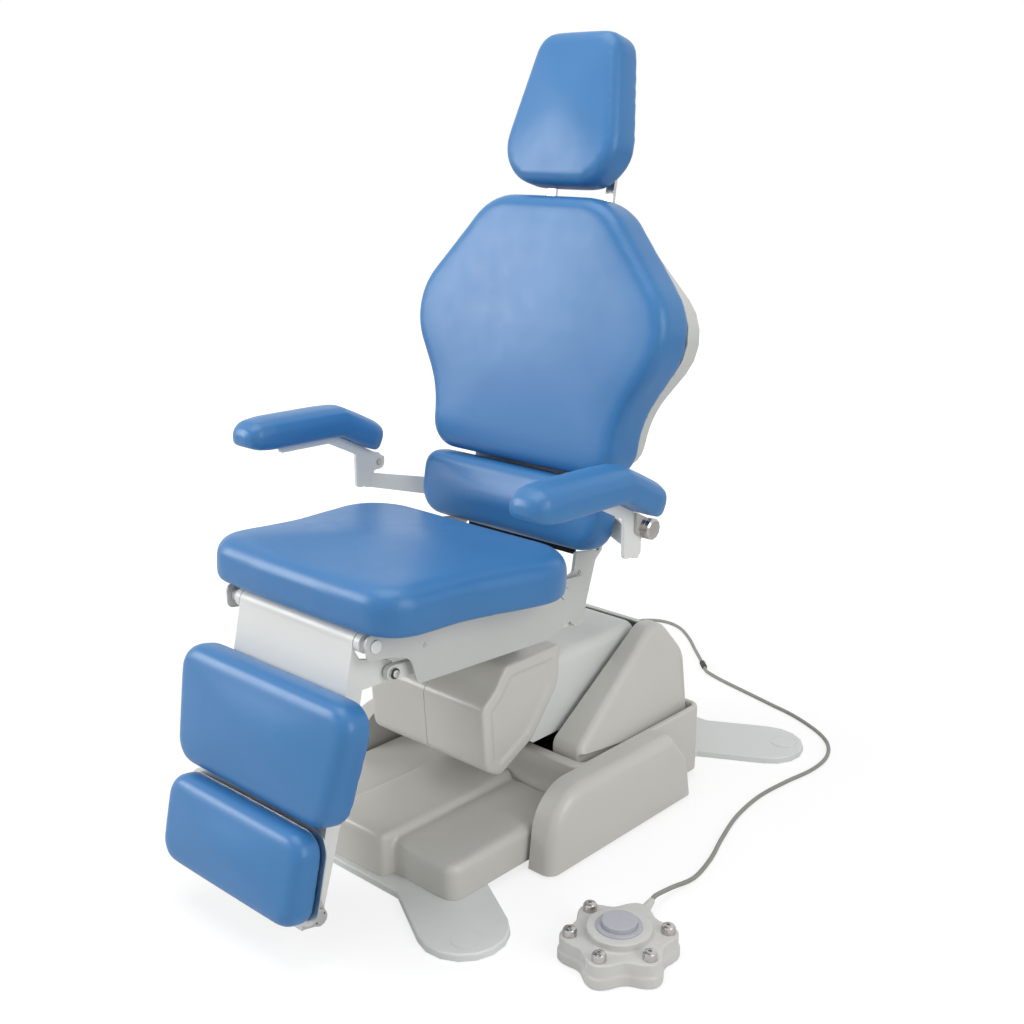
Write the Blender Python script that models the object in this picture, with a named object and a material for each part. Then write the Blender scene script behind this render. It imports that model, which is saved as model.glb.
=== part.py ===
"""Ear, nose and throat examination chair, as an assembly of separate pieces.

Metres, +Z up, floor at z = 0. The patient faces -Y and the chair is symmetric about x = 0,
apart from the foot pedal and its cable. The origin is at the middle of the base plate's underside.
"""
import math

import bmesh
import bpy
from mathutils import Vector

# Clearances
SEAT_GAP = 0.0003
RUN_GAP = 0.0004
SLIDE_GAP = 0.0005
ARM_CLEAR = 0.0005
BRACKET_CLEAR = 0.0035
ROD_CLEAR = 0.004
ROD_SIDE_CLEAR = 0.003
EAR_CLEAR = 0.0045

# Facets of round pieces
ROUND = 20
SMALL_ROUND = 12
CORNER_STEPS = 3

# Base plate and the covers that stand on it
PLATE_THICK = 0.012
PLATE_FRONT = 0.40
LOBE_X = 0.242
LOBE_Y = 0.397
LOBE_RADIUS = 0.067
LOBE_ANGLE = 29
WAIST_HALF = 0.17
COVER_WALL = 0.003
FRONT_COVER_SET = 0.014
FRONT_COVER_START = -0.368
FRONT_COVER_FILLET = 0.014
WING_HEIGHT = 0.056
RIDGE_HALF = 0.066
RIDGE_RISE = 0.014
RIDGE_FORE = 0.022
RIDGE_STEP = 0.0008
TRAY_FRONT = -0.100
TRAY_REAR = 0.235
TRAY_RIM = 0.132
TRAY_WALL = 0.004
TRAY_CORNER = 0.020
TRAY_LEDGE = 0.011
TRAY_SHELF = 0.030
TRAY_RIM_THICK = 0.004
SIDE_COVER_WIDTH = 0.039
SIDE_COVER_FRONT = -0.212
SIDE_COVER_REAR = 0.160
SIDE_COVER_LIFT = 0.004
SIDE_NOSE_SET = 0.016
SIDE_NOSE_RADIUS = 0.075
SIDE_TAIL_LEAN = 0.012
SIDE_TAIL_HEIGHT = 0.068
SIDE_TAIL_SET = 0.060
SIDE_TAIL_LOW_RADIUS = 0.020
SIDE_TAIL_TOP_RADIUS = 0.030
SIDE_EDGE_START = 0.020
SIDE_EDGE_MIDDLE = 0.008
SIDE_EDGE_DRAW = 0.016
SIDE_HOLLOW_SHORT = 0.012

# Lifting arm, its parallel link and its actuator
ARM_PIVOT_Y = 0.130
ARM_PIVOT_Z = 0.235
ARM_REACH = 0.300
ARM_WALL = 0.004
ARM_TOP = 0.048
ARM_DEPTH = 0.131
ARM_NOSE = 0.028
ARM_TAIL = 0.020
ARM_SHAFT_RADIUS = 0.012
LINK_DROP = 0.050
LINK_THICK = 0.028
LINK_RADIUS = 0.014
LINK_PIN_RADIUS = 0.007
CENTRE_BRACKET_HALF = 0.006
BRACKET_THICK = 0.008
BRACKET_CAP = 0.030
BRACKET_FOOT = 0.055
PIVOT_COVER_WIDTH = 0.065
PIVOT_COVER_STEP = 0.0012
PIVOT_COVER_LEAN = 0.18
PIVOT_COVER_PEAK = 0.055
PIVOT_COVER_REACH = 0.206
PIVOT_COVER_STEM = 0.018
PIVOT_COVER_TAIL_SET = 0.010
PIVOT_COVER_HEEL = 0.090
PIVOT_COVER_HEEL_DROP = 0.005
PIVOT_COVER_BROW = 0.042
PIVOT_COVER_CROWN = 0.0055
PIVOT_COVER_HEEL_RADIUS = 0.050
PIVOT_COVER_BROW_RADIUS = 0.035
PIVOT_COVER_CROWN_RADIUS = 0.016
PIVOT_COVER_TOE_RADIUS = 0.012
PIVOT_COVER_EDGE = 0.012
PIVOT_COVER_SHY = 0.003
PIVOT_COVER_DRAW = 0.008
PIVOT_COVER_BACK = 0.016
REAR_PANEL_Y = 0.2125
REAR_PANEL_THICK = 0.003
REAR_PANEL_LIP = 0.158
REAR_PANEL_BROW = 0.167
REAR_PANEL_BEND = 0.205
ACTUATOR_FOOT_Y = 0.030
ACTUATOR_FOOT_Z = 0.048
ACTUATOR_X = 0.032
ACTUATOR_RADIUS = 0.021
ACTUATOR_TUBE = 0.140
ACTUATOR_ROD_RADIUS = 0.010
ACTUATOR_ROD_START = 0.012
ACTUATOR_TIP_BACK = 0.200
ACTUATOR_TIP_DROP = 0.030
ACTUATOR_PIN_RADIUS = 0.006
ACTUATOR_EYE_PLAY = 0.0055
ACTUATOR_EYE_WALL = 0.005
MOTOR_RADIUS = 0.016
MOTOR_LENGTH = 0.085
MOTOR_OFFSET = 0.038

# Seat carrier, its front cover and the seat frame
CARRIER_THICK = 0.006
CARRIER_FORE = 0.042
CARRIER_AFT = 0.078
CARRIER_BOTTOM = 0.165
CARRIER_SHELF = 0.003
CARRIER_SHELF_FORE = 0.010
CARRIER_SHELF_SET = 0.002
CARRIER_NECK_HALF = 0.070
ARM_COVER_FORE = 0.067
ARM_COVER_TOP = 0.309
ARM_COVER_TIP = 0.128
ARM_COVER_BROW = 0.252
ARM_COVER_CHIN_SET = 0.008
ARM_COVER_CHIN_RISE = 0.020
ARM_COVER_CHIN_FORE = 0.026
ARM_COVER_KEEL = (0.050, 0.166)
ARM_COVER_HEEL = (0.110, 0.240)
ARM_COVER_AFT = 0.116
ARM_COVER_BACK = 0.012
ARM_COVER_SHOULDER = (0.036, 0.276)
ARM_COVER_SHOULDER_DROP = 0.010
ARM_COVER_ROUND = 0.020
ARM_COVER_CHIN_ROUND = 0.016
ARM_COVER_KEEL_ROUND = 0.030
ARM_COVER_TOP_ROUND = 0.012
ARM_COVER_REAR_ROUND = 0.006
ARM_COVER_EDGE = 0.008
ARM_COVER_DRAW = 0.005
ARM_COVER_MOUTH = 0.038
SEAT_SLOPE = 3.5
SEAT_BASE_Y = -0.150
SEAT_BASE_Z = 0.432
FRAME_HALF = 0.155
FRAME_SHEET = 0.003
FRAME_FRONT_SET = 0.0093
FRAME_TOP_SET = 0.044
FRAME_HORN_SET = 0.044
FRAME_NOTCH_SET = 0.079
FRAME_CHEEK_SET = 0.092
FRAME_TOP_REAR = -0.112
FRAME_REAR = -0.030
FRAME_LOW_FRONT = 0.356
FRAME_LOW_REAR = 0.340
FRAME_TAIL_SET = 0.085
FRAME_TAIL_DROP = 0.038
SEAT_CUSHION_THICK = 0.078
SEAT_CUSHION_REAR = -0.112
SEAT_CUSHION_LENGTH = 0.382
SEAT_REAR_HALF = 0.248
SEAT_WAIST_HALF = 0.208
SEAT_FRONT_HALF = 0.207

# Legrest, its linkage and the folding footrest
LEG_HINGE_SET = 0.016
LEG_HINGE_DROP = 0.01745
LEG_TILT = 13
LEG_TUBE_RADIUS = 0.0095
LEG_HEM_RADIUS = 0.0145
LEG_SHEET = 0.003
LEG_PLATE_LENGTH = 0.399
LEG_FLANGE_DEPTH = 0.030
LEG_COLLAR_WIDTH = 0.0115
LEVER_BACK = 0.046
LEVER_DROP = 0.057
ROD_THICK = 0.010
ROD_RADIUS = 0.011
ROD_PIN_RADIUS = 0.005
LEG_PAD_START = 0.073
PADS_GAP = 0.007
LEG_PAD_HALF = 0.198
LEG_PAD_THICK = 0.047
FOOT_PIVOT_END = 0.012
FOOT_PIVOT_N = 0.0105
FOOT_SHEET_N = 0.035
FOOT_EAR_CLEAR = 0.002
FOOT_EAR_THICK = 0.0045
FOOT_PAD_REACH = 0.129
FOOT_PAD_LENGTH = 0.134
FOOT_PAD_HALF = 0.166
FOOT_PAD_THICK = 0.041
FOOT_CAP_RADIUS = 0.0125
FOOT_CAP_THICK = 0.004
FOOT_PIN_RADIUS = 0.005

# Backrest and headrest, measured along the back from the bottom of the main cushion's front face
BACK_FOOT_Y = -0.037
BACK_FOOT_Z = 0.581
BACK_TILT = 10
BACK_HINGE_Y = -0.078
BACK_HINGE_Z = 0.405
BACK_SHAFT_RADIUS = 0.009
BACK_EAR_THICK = 0.006
BACK_PLATE_THICK = 0.006
BACK_PLATE_TOP = 0.330
BACK_PLATE_BOTTOM = -0.082
BACK_EAR_FRONT = -0.015
BACK_EAR_REAR = -0.0655
BACK_CUSHION_THICK = 0.0775
BACK_CUSHION_HEIGHT = 0.415
BACK_WIDEST = 0.236
BACK_SHOULDER = 0.300
BACK_TOP_HALF = 0.128
BACK_FOOT_HALF = 0.188
BACK_WAIST = 0.105
SHELL_DEPTH = 0.040
SHELL_INSET = 0.012
SHELL_TOP_INSET = 0.032
SHELL_WALL = 0.003
LUMBAR_HEIGHT = 0.108
LUMBAR_GAP = 0.006
LUMBAR_HALF = 0.195
LUMBAR_FRONT = 0.010
LUMBAR_THICK = 0.055
POST_X = 0.060
POST_WIDTH = 0.016
POST_THICK = 0.006
POST_BACK = 0.097
POST_BOTTOM = 0.140
HEAD_RISE = 0.070
CROSSBAR_RADIUS = 0.006
GUIDE_BOTTOM = 0.270
GUIDE_HEIGHT = 0.050
GUIDE_HALF = 0.080
GUIDE_WALL = 0.0045
HEAD_TILT = 16
HEAD_PAD_HEIGHT = 0.238
HEAD_PAD_THICK = 0.064
HEAD_LOW_HALF = 0.118
HEAD_TOP_HALF = 0.078
HEAD_PAD_BELOW = 0.050
HEAD_PLATE_HALF = 0.050
HEAD_PLATE_THICK = 0.004
HEAD_PLATE_RISE = 0.110
HEAD_STANDOFF = 0.015
KNUCKLE_HALF = 0.030
KNUCKLE_WALL = 0.0045

# Armrests
ARMREST_X = 0.300
ARMREST_BRACKET_X = 0.290
ARMREST_PLATE = 0.006
ARMREST_LUG = 0.005
ARMREST_PAD_HALF = 0.0375
ARMREST_PAD_THICK = 0.050
ARMREST_TIP = (-0.323, 0.603)
ARMREST_BEND = (-0.154, 0.600)
ARMREST_HEEL = (-0.084, 0.5638)
ARMREST_PIVOT_Y = -0.060
ARMREST_PIVOT_Z = 0.5365
ARMREST_PIN_RADIUS = 0.005
ARMREST_CAP_RADIUS = 0.016
ARMREST_CAP_THICK = 0.009
ARMREST_EAR_RADIUS = 0.0125
ARM_BAR_LOW = 0.490
ARM_BAR_HEIGHT = 0.025
ARM_TAIL_FRONT = -0.112
ARM_TAIL_REAR = -0.072
ARM_TAIL_LOW = 0.499

# Control box, foot pedal and cable
CONTROL_BOX = (0.110, 0.180, 0.038)
PEDAL_X = 0.437
PEDAL_Y = -0.290
PEDAL_RADIUS = 0.074
PEDAL_WAVE = 0.012
PEDAL_LOBES = 6
PEDAL_TURN = 45
PEDAL_HEIGHT = 0.036
PEDAL_EDGE = 0.006
PEDAL_RING_RADIUS = 0.044
PEDAL_RING_HEIGHT = 0.046
PEDAL_DISC_RADIUS = 0.026
PEDAL_DISC_TOP = 0.055
BUTTON_CIRCLE = 0.068
BUTTON_RADIUS = 0.010
BUTTON_TOP = 0.047
BUTTON_SEAT = 0.028
BUTTON_WELL = 0.022
CABLE_RADIUS = 0.0035
CABLE_FLOOR = 0.0040
CABLE_EXIT_Z = 0.018
RELIEF_LENGTH = 0.036
RELIEF_RADIUS = 0.008
JOINT_RADIUS = 0.006
JOINT_LENGTH = 0.030
GLAND_X = -0.100
GLAND_Z = 0.045
GLAND_RADIUS = 0.010
GLAND_LENGTH = 0.026
CABLE_SIDES = 2
CABLE_STEP = 0.020

# Places that follow from the driving dimensions
PLATE_TOP = PLATE_THICK + SEAT_GAP
PIVOT_COVER_SKIRT = TRAY_RIM + SEAT_GAP
SIDE_COVER_TOP = TRAY_RIM
ARM_PIVOT = (ARM_PIVOT_Y, ARM_PIVOT_Z)
ARM_FRONT = (ARM_PIVOT_Y - ARM_REACH, ARM_PIVOT_Z)
LINK_REAR = (ARM_PIVOT_Y, ARM_PIVOT_Z - LINK_DROP)
LINK_FRONT = (ARM_PIVOT_Y - ARM_REACH, ARM_PIVOT_Z - LINK_DROP)
CARRIER_FRONT = ARM_FRONT[0] - CARRIER_FORE
CARRIER_REAR = ARM_FRONT[0] + CARRIER_AFT
ARM_COVER_FRONT = ARM_FRONT[0] - ARM_COVER_FORE
ARM_COVER_REAR = ARM_FRONT[0] + ARM_COVER_AFT
SEAT_CUSHION_FRONT = SEAT_CUSHION_REAR - SEAT_CUSHION_LENGTH * math.cos(math.radians(SEAT_SLOPE))
FRAME_FRONT = SEAT_CUSHION_FRONT + FRAME_FRONT_SET
FRAME_TOP_FRONT = FRAME_FRONT + FRAME_TOP_SET
LEG_HINGE_Y = FRAME_FRONT + LEG_HINGE_SET
LEG_HINGE_Z = (SEAT_BASE_Z - LEG_HINGE_DROP
               + (SEAT_BASE_Y - LEG_HINGE_Y) * math.tan(math.radians(SEAT_SLOPE)))
EAR_OUT = FRAME_HALF - FRAME_SHEET - EAR_CLEAR
EAR_IN = EAR_OUT - BACK_EAR_THICK
ROD_OUT = EAR_IN - ROD_CLEAR
ROD_IN = ROD_OUT - ROD_THICK
LEG_PLATE_HALF = ROD_IN - ROD_SIDE_CLEAR
CARRIER_OUT = ROD_IN - ROD_SIDE_CLEAR
ARM_HALF = CARRIER_OUT - CARRIER_THICK - ARM_CLEAR
BRACKET_IN = ARM_HALF + BRACKET_CLEAR
BRACKET_OUT = BRACKET_IN + BRACKET_THICK
TRAY_HALF = BRACKET_OUT + SEAT_GAP + PIVOT_COVER_WIDTH + PIVOT_COVER_STEP + TRAY_LEDGE
CARRIER_SHELF_LOW = ARM_PIVOT_Z + ARM_TOP + ARM_CLEAR
CARRIER_SHELF_TOP = CARRIER_SHELF_LOW + CARRIER_SHELF
CARRIER_SHELF_FRONT = ARM_FRONT[0] - CARRIER_SHELF_FORE
ARM_COVER_EAVE = ARM_COVER_SHOULDER[1] - ARM_COVER_SHOULDER_DROP
FRONT_COVER_HALF = TRAY_HALF - FRONT_COVER_SET
ARM_COVER_IN = CARRIER_OUT + SEAT_GAP
ARM_COVER_OUT = ARM_COVER_IN + COVER_WALL
LEG_HINGE = (LEG_HINGE_Y, LEG_HINGE_Z)
BACK_HINGE = (BACK_HINGE_Y, BACK_HINGE_Z)
ROD_FRONT = (LEG_HINGE_Y + LEVER_BACK, LEG_HINGE_Z - LEVER_DROP)
ROD_REAR = (BACK_HINGE_Y + LEVER_BACK, BACK_HINGE_Z - LEVER_DROP)
FOOT_PIVOT_U = LEG_PLATE_LENGTH - FOOT_PIVOT_END
FOOT_PAD_START = FOOT_PIVOT_U - FOOT_PAD_REACH
FOOT_SHEET_HALF = LEG_PLATE_HALF + FOOT_EAR_CLEAR + FOOT_EAR_THICK
LEG_PAD_LENGTH = FOOT_PAD_START - PADS_GAP - LEG_PAD_START
POST_TOP = BACK_CUSHION_HEIGHT + HEAD_RISE
ARMREST_PIVOT = (ARMREST_PIVOT_Y, ARMREST_PIVOT_Z)
ACTUATOR_FOOT = (ACTUATOR_FOOT_Y, ACTUATOR_FOOT_Z)
ACTUATOR_TIP = (ARM_PIVOT_Y - ACTUATOR_TIP_BACK, ARM_PIVOT_Z - ACTUATOR_TIP_DROP)
PEDAL_CENTRE = (PEDAL_X, PEDAL_Y, 0.0)


# Materials

def paint(name, colour, roughness, metallic=0.0):
    """A plain Principled material with the piece's colour, roughness and metallic value."""
    finish = bpy.data.materials.new(name)
    finish.use_nodes = True
    shader = finish.node_tree.nodes["Principled BSDF"]
    shader.inputs["Base Color"].default_value = (*colour, 1.0)
    shader.inputs["Roughness"].default_value = roughness
    shader.inputs["Metallic"].default_value = metallic
    return finish


for old in list(bpy.data.objects):
    bpy.data.objects.remove(old, do_unlink=True)

UPHOLSTERY = paint("blue_upholstery", (0.10, 0.28, 0.58), 0.40)
COVER_PLASTIC = paint("beige_cover_plastic", (0.47, 0.47, 0.43), 0.42)
WHITE_PAINT = paint("white_powder_coat", (0.62, 0.62, 0.58), 0.45)
GREY_PAINT = paint("grey_powder_coat", (0.55, 0.57, 0.57), 0.40)
STEEL = paint("bare_steel", (0.55, 0.54, 0.50), 0.30, 1.0)
CHROME = paint("chrome", (0.75, 0.74, 0.72), 0.12, 1.0)
BLACK = paint("black_plastic", (0.03, 0.03, 0.03), 0.50)
PEDAL_PLASTIC = paint("pedal_plastic", (0.62, 0.62, 0.58), 0.40)
DISC_GREY = paint("grey_pedal_disc", (0.47, 0.47, 0.52), 0.50)
CABLE_GREY = paint("grey_cable", (0.26, 0.26, 0.23), 0.55)


# Outlines in a plane

def rounded(corners, steps=CORNER_STEPS):
    """Replaces each corner (u, v, radius) of an outline by an arc of that radius."""
    points = []
    for index, (u, v, radius) in enumerate(corners):
        here = Vector((u, v))
        before = Vector(corners[index - 1][:2]) - here
        after = Vector(corners[(index + 1) % len(corners)][:2]) - here
        if radius <= 0.0:
            points.append((u, v))
            continue
        half = before.angle(after) / 2
        reach = min(radius / math.tan(half), 0.49 * before.length, 0.49 * after.length)
        bow = reach * math.tan(half)
        centre = here + (before.normalized() + after.normalized()).normalized() * (bow / math.sin(half))
        start = here + before.normalized() * reach - centre
        end = here + after.normalized() * reach - centre
        turn = start.angle_signed(end)
        for step in range(steps + 1):
            arm = start.copy()
            angle = -turn * step / steps
            spun = (arm.x * math.cos(angle) - arm.y * math.sin(angle),
                    arm.x * math.sin(angle) + arm.y * math.cos(angle))
            points.append((centre.x + spun[0], centre.y + spun[1]))
    return points


def inset(outline, distance):
    """Moves every side of a closed outline inwards by one distance."""
    area = sum(a[0] * b[1] - b[0] * a[1] for a, b in zip(outline, outline[1:] + outline[:1]))
    side = 1.0 if area > 0 else -1.0
    moved = []
    for index, (u, v) in enumerate(outline):
        here = Vector((u, v))
        ahead = (Vector(outline[(index + 1) % len(outline)]) - here).normalized()
        behind = (here - Vector(outline[index - 1])).normalized()
        normal = Vector((-behind.y - ahead.y, behind.x + ahead.x)).normalized() * side
        scale = max(0.5, normal.dot(Vector((-ahead.y, ahead.x)) * side))
        moved.append((u + normal.x * distance / scale, v + normal.y * distance / scale))
    return moved


def circle(centre, radius, count=ROUND):
    """Points of a circle, with a corner at its start angle."""
    return [(centre[0] + radius * math.cos(2 * math.pi * k / count),
             centre[1] + radius * math.sin(2 * math.pi * k / count)) for k in range(count)]


def stadium(start, end, radius, steps=8):
    """A bar with round ends between two points."""
    a, b = Vector(start), Vector(end)
    heading = math.atan2(b.y - a.y, b.x - a.x)
    points = []
    for middle, first in ((b, heading - math.pi / 2), (a, heading + math.pi / 2)):
        for step in range(steps + 1):
            angle = first + math.pi * step / steps
            points.append((middle.x + radius * math.cos(angle), middle.y + radius * math.sin(angle)))
    return points


def ring(x, outline):
    """An outline in the YZ plane, at one x."""
    return [(x, y, z) for y, z in outline]


# Solids

def solid(name, rings, finish, pivot=(0.0, 0.0, 0.0), endless=False, smooth=30):
    """Joins rings of equally many points into one closed body, with its origin at its pivot."""
    mesh = bpy.data.meshes.new(name)
    work = bmesh.new()
    loops = [[work.verts.new(Vector(point) - Vector(pivot)) for point in loop] for loop in rings]
    pairs = list(zip(loops, loops[1:] + loops[:1])) if endless else list(zip(loops, loops[1:]))
    for first, second in pairs:
        for k in range(len(first)):
            j = (k + 1) % len(first)
            work.faces.new((first[k], first[j], second[j], second[k]))
    if not endless:
        work.faces.new(list(reversed(loops[0])))
        work.faces.new(loops[-1])
    bmesh.ops.recalc_face_normals(work, faces=work.faces)
    if work.calc_volume(signed=True) < 0.0:
        bmesh.ops.reverse_faces(work, faces=work.faces)
    work.to_mesh(mesh)
    work.free()
    mesh.shade_smooth()
    mesh.set_sharp_from_angle(angle=math.radians(smooth))
    mesh.materials.append(finish)
    piece = bpy.data.objects.new(name, mesh)
    piece.location = pivot
    bpy.context.collection.objects.link(piece)
    return piece


def slab(name, outline, low, high, finish, pivot=(0.0, 0.0, 0.0), edge=0.0):
    """A plate cut to a YZ outline, from one x to another, with both rims eased."""
    rings = [ring(low, outline), ring(high, outline)]
    if edge > 0.0:
        small = inset(outline, edge)
        rings = [ring(low, small), ring(low + edge, outline), ring(high - edge, outline),
                 ring(high, small)]
    return solid(name, rings, finish, pivot)


def turned(name, profile, centre, finish, pivot=(0.0, 0.0, 0.0), count=ROUND):
    """A turned piece along X: profile lists (x, radius) from one end to the other."""
    rings = [ring(x, circle(centre, radius, count)) for x, radius in profile]
    return solid(name, rings, finish, pivot)


def upright(name, profile, centre, finish, pivot=(0.0, 0.0, 0.0), count=ROUND):
    """A turned piece along Z: profile lists (z, radius) from the bottom up."""
    rings = [[(x, y, z) for x, y in circle(centre, radius, count)] for z, radius in profile]
    return solid(name, rings, finish, pivot)


def along(name, start, heading, profile, finish, pivot=(0.0, 0.0, 0.0), count=SMALL_ROUND, endless=False):
    """A turned piece along any heading: profile lists (distance, radius) from its start point."""
    axis = Vector(heading).normalized()
    across = axis.orthogonal().normalized()
    other = axis.cross(across)
    rings = []
    for distance, radius in profile:
        middle = Vector(start) + axis * distance
        loop = []
        for k in range(count):
            angle = 2 * math.pi * k / count
            loop.append(middle + across * radius * math.cos(angle) + other * radius * math.sin(angle))
        rings.append(loop)
    return solid(name, rings, finish, pivot, endless)


def combine(piece, tool, operation):
    """Cuts a tool from a piece, or joins it to the piece, and removes the tool."""
    change = piece.modifiers.new(operation.lower(), "BOOLEAN")
    change.operation = operation
    change.solver = "EXACT"
    change.object = tool
    bpy.context.view_layer.update()
    graph = bpy.context.evaluated_depsgraph_get()
    result = bpy.data.meshes.new_from_object(piece.evaluated_get(graph))
    piece.modifiers.clear()
    piece.data = result
    bpy.data.objects.remove(tool, do_unlink=True)
    return piece


def cut(piece, *tools):
    for tool in tools:
        combine(piece, tool, "DIFFERENCE")
    return piece


def join(piece, *tools):
    for tool in tools:
        combine(piece, tool, "UNION")
    return piece


def bore(centre, radius, low, high, count=ROUND):
    """A cutter for a round hole along X."""
    return turned("bore_tool", [(low, radius), (high, radius)], centre, STEEL, count=count)


def block(name, low, high, finish=STEEL, pivot=(0.0, 0.0, 0.0)):
    """A square-edged block between two corners."""
    outline = [(low[1], low[2]), (high[1], low[2]), (high[1], high[2]), (low[1], high[2])]
    return slab(name, outline, low[0], high[0], finish, pivot)


def cushion(name, outline, thickness, place, pivot, crown=0.010, tuck=0.010):
    """A padded solid with a flat back, drawn-in sides and a crowned face.

    outline is in the pad's own (u, v) plane, place(u, v, w) gives world points, and w runs from the
    flat back at 0 to the crown at the full thickness.
    """
    centre_u = sum(u for u, v in outline) / len(outline)
    centre_v = sum(v for u, v in outline) / len(outline)
    side = thickness - crown
    layers = [(tuck, 0.0), (0.3 * tuck, 0.18 * side), (0.0, 0.45 * side), (0.2 * tuck, 0.72 * side),
              (0.8 * tuck, 0.90 * side), (2.0 * tuck, side)]
    rings = []
    for draw, w in layers:
        rings.append([place(u, v, w) for u, v in inset(outline, draw)])
    brow = inset(outline, 2.0 * tuck)
    for share in (0.72, 0.42, 0.15):
        rise = side + crown * (1.0 - share * share)
        rings.append([place(centre_u + (u - centre_u) * share, centre_v + (v - centre_v) * share, rise)
                      for u, v in brow])
    return solid(name, rings, UPHOLSTERY, pivot, smooth=60)


# Frames of the tilted pieces

def seat_base(y):
    """Height of the cushion's underside at one y."""
    return SEAT_BASE_Z + (SEAT_BASE_Y - y) * math.tan(math.radians(SEAT_SLOPE))


def leg(u, n):
    """(y, z) of a point u down the legrest from its hinge and n forward of it."""
    slant = math.radians(LEG_TILT)
    return (LEG_HINGE_Y - u * math.sin(slant) - n * math.cos(slant),
            LEG_HINGE_Z - u * math.cos(slant) + n * math.sin(slant))


def back(s, n):
    """(y, z) of a point s up the backrest and n forward of its front face."""
    slant = math.radians(BACK_TILT)
    return (BACK_FOOT_Y + s * math.sin(slant) - n * math.cos(slant),
            BACK_FOOT_Z + s * math.cos(slant) + n * math.sin(slant))


HEAD_HINGE = back(POST_TOP, -POST_BACK)


def head(s, n):
    """(y, z) of a point s up the headrest from its hinge and n forward of it."""
    slant = math.radians(HEAD_TILT)
    return (HEAD_HINGE[0] + s * math.sin(slant) - n * math.cos(slant),
            HEAD_HINGE[1] + s * math.cos(slant) + n * math.sin(slant))


# Base

def base_plate():
    """Flat plate with four diagonal lobes that carry the levelling screws."""
    slant = math.radians(LOBE_ANGLE)
    inner = (-math.cos(slant), math.sin(slant))
    arc = []
    for step in range(9):
        angle = math.radians(-LOBE_ANGLE - 90 + 22.5 * step)
        arc.append((LOBE_X + LOBE_RADIUS * math.cos(angle), -LOBE_Y + LOBE_RADIUS * math.sin(angle)))
    to_front = (-PLATE_FRONT - arc[0][1]) / inner[1]
    to_waist = (arc[-1][0] - WAIST_HALF) / -inner[0]
    bend = (arc[0][0] + to_front * inner[0], -PLATE_FRONT)
    waist = (WAIST_HALF, arc[-1][1] + to_waist * inner[1])
    quarter = [bend] + arc + [waist]
    half = quarter + [(x, -y) for x, y in reversed(quarter)]
    outline = half + [(-x, -y) for x, y in half]
    eased = inset(outline, 0.002)
    rings = [[(x, y, 0.0) for x, y in outline], [(x, y, PLATE_THICK - 0.002) for x, y in outline],
             [(x, y, PLATE_THICK) for x, y in eased]]
    return solid("base_plate", rings, GREY_PAINT)


def front_cover_outline(wall):
    """Section of the base's front cover across X: two wings and a raised middle."""
    low = PLATE_TOP
    wing = PLATE_TOP + WING_HEIGHT - wall
    top = wing + RIDGE_RISE
    half = FRONT_COVER_HALF - wall
    ridge = RIDGE_HALF - wall
    right = [(half, low, 0.0), (half, wing, 0.018), (ridge + 0.012, wing, 0.006), (ridge, top, 0.010)]
    left = [(-u, v, r) for u, v, r in reversed(right)]
    return rounded(right + left)


def ridge_nose():
    """Front end of the raised middle, which stands ahead of the wings."""
    half = RIDGE_HALF - RIDGE_STEP
    top = PLATE_TOP + WING_HEIGHT + RIDGE_RISE - RIDGE_STEP
    right = [(half, PLATE_TOP, 0.0), (half, top, 0.010)]
    outline = rounded(right + [(-u, v, r) for u, v, r in reversed(right)])
    eased = [(u * (1 - 0.008 / half), v - (v - PLATE_TOP) / (top - PLATE_TOP) * 0.008) for u, v in outline]
    front = FRONT_COVER_START - RIDGE_FORE
    stations = ((front, eased), (front + 0.008, outline),
                (FRONT_COVER_START + FRONT_COVER_FILLET + 0.004, outline))
    return solid("ridge_nose", [[(u, y, v) for u, v in loop] for y, loop in stations], COVER_PLASTIC)


def base_front_cover():
    """Moulded cover over the front of the base, open underneath and at the rear."""
    outer = front_cover_outline(0.0)
    eased = [(u * (1 - FRONT_COVER_FILLET / FRONT_COVER_HALF),
              v - (v - PLATE_TOP) / WING_HEIGHT * FRONT_COVER_FILLET) for u, v in outer]
    rear = TRAY_FRONT - SEAT_GAP
    stations = ((FRONT_COVER_START, eased), (FRONT_COVER_START + FRONT_COVER_FILLET, outer), (rear, outer))
    cover = solid("base_front_cover", [[(u, y, v) for u, v in loop] for y, loop in stations],
                  COVER_PLASTIC)
    cover = join(cover, ridge_nose())
    hollow = [(u, v if v > PLATE_TOP + 0.001 else v - 0.02) for u, v in front_cover_outline(COVER_WALL)]
    spans = (FRONT_COVER_START + FRONT_COVER_FILLET, rear + 0.02)
    tool = solid("hollow_tool", [[(u, y, v) for u, v in hollow] for y in spans], COVER_PLASTIC)
    return cut(cover, tool)


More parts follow.
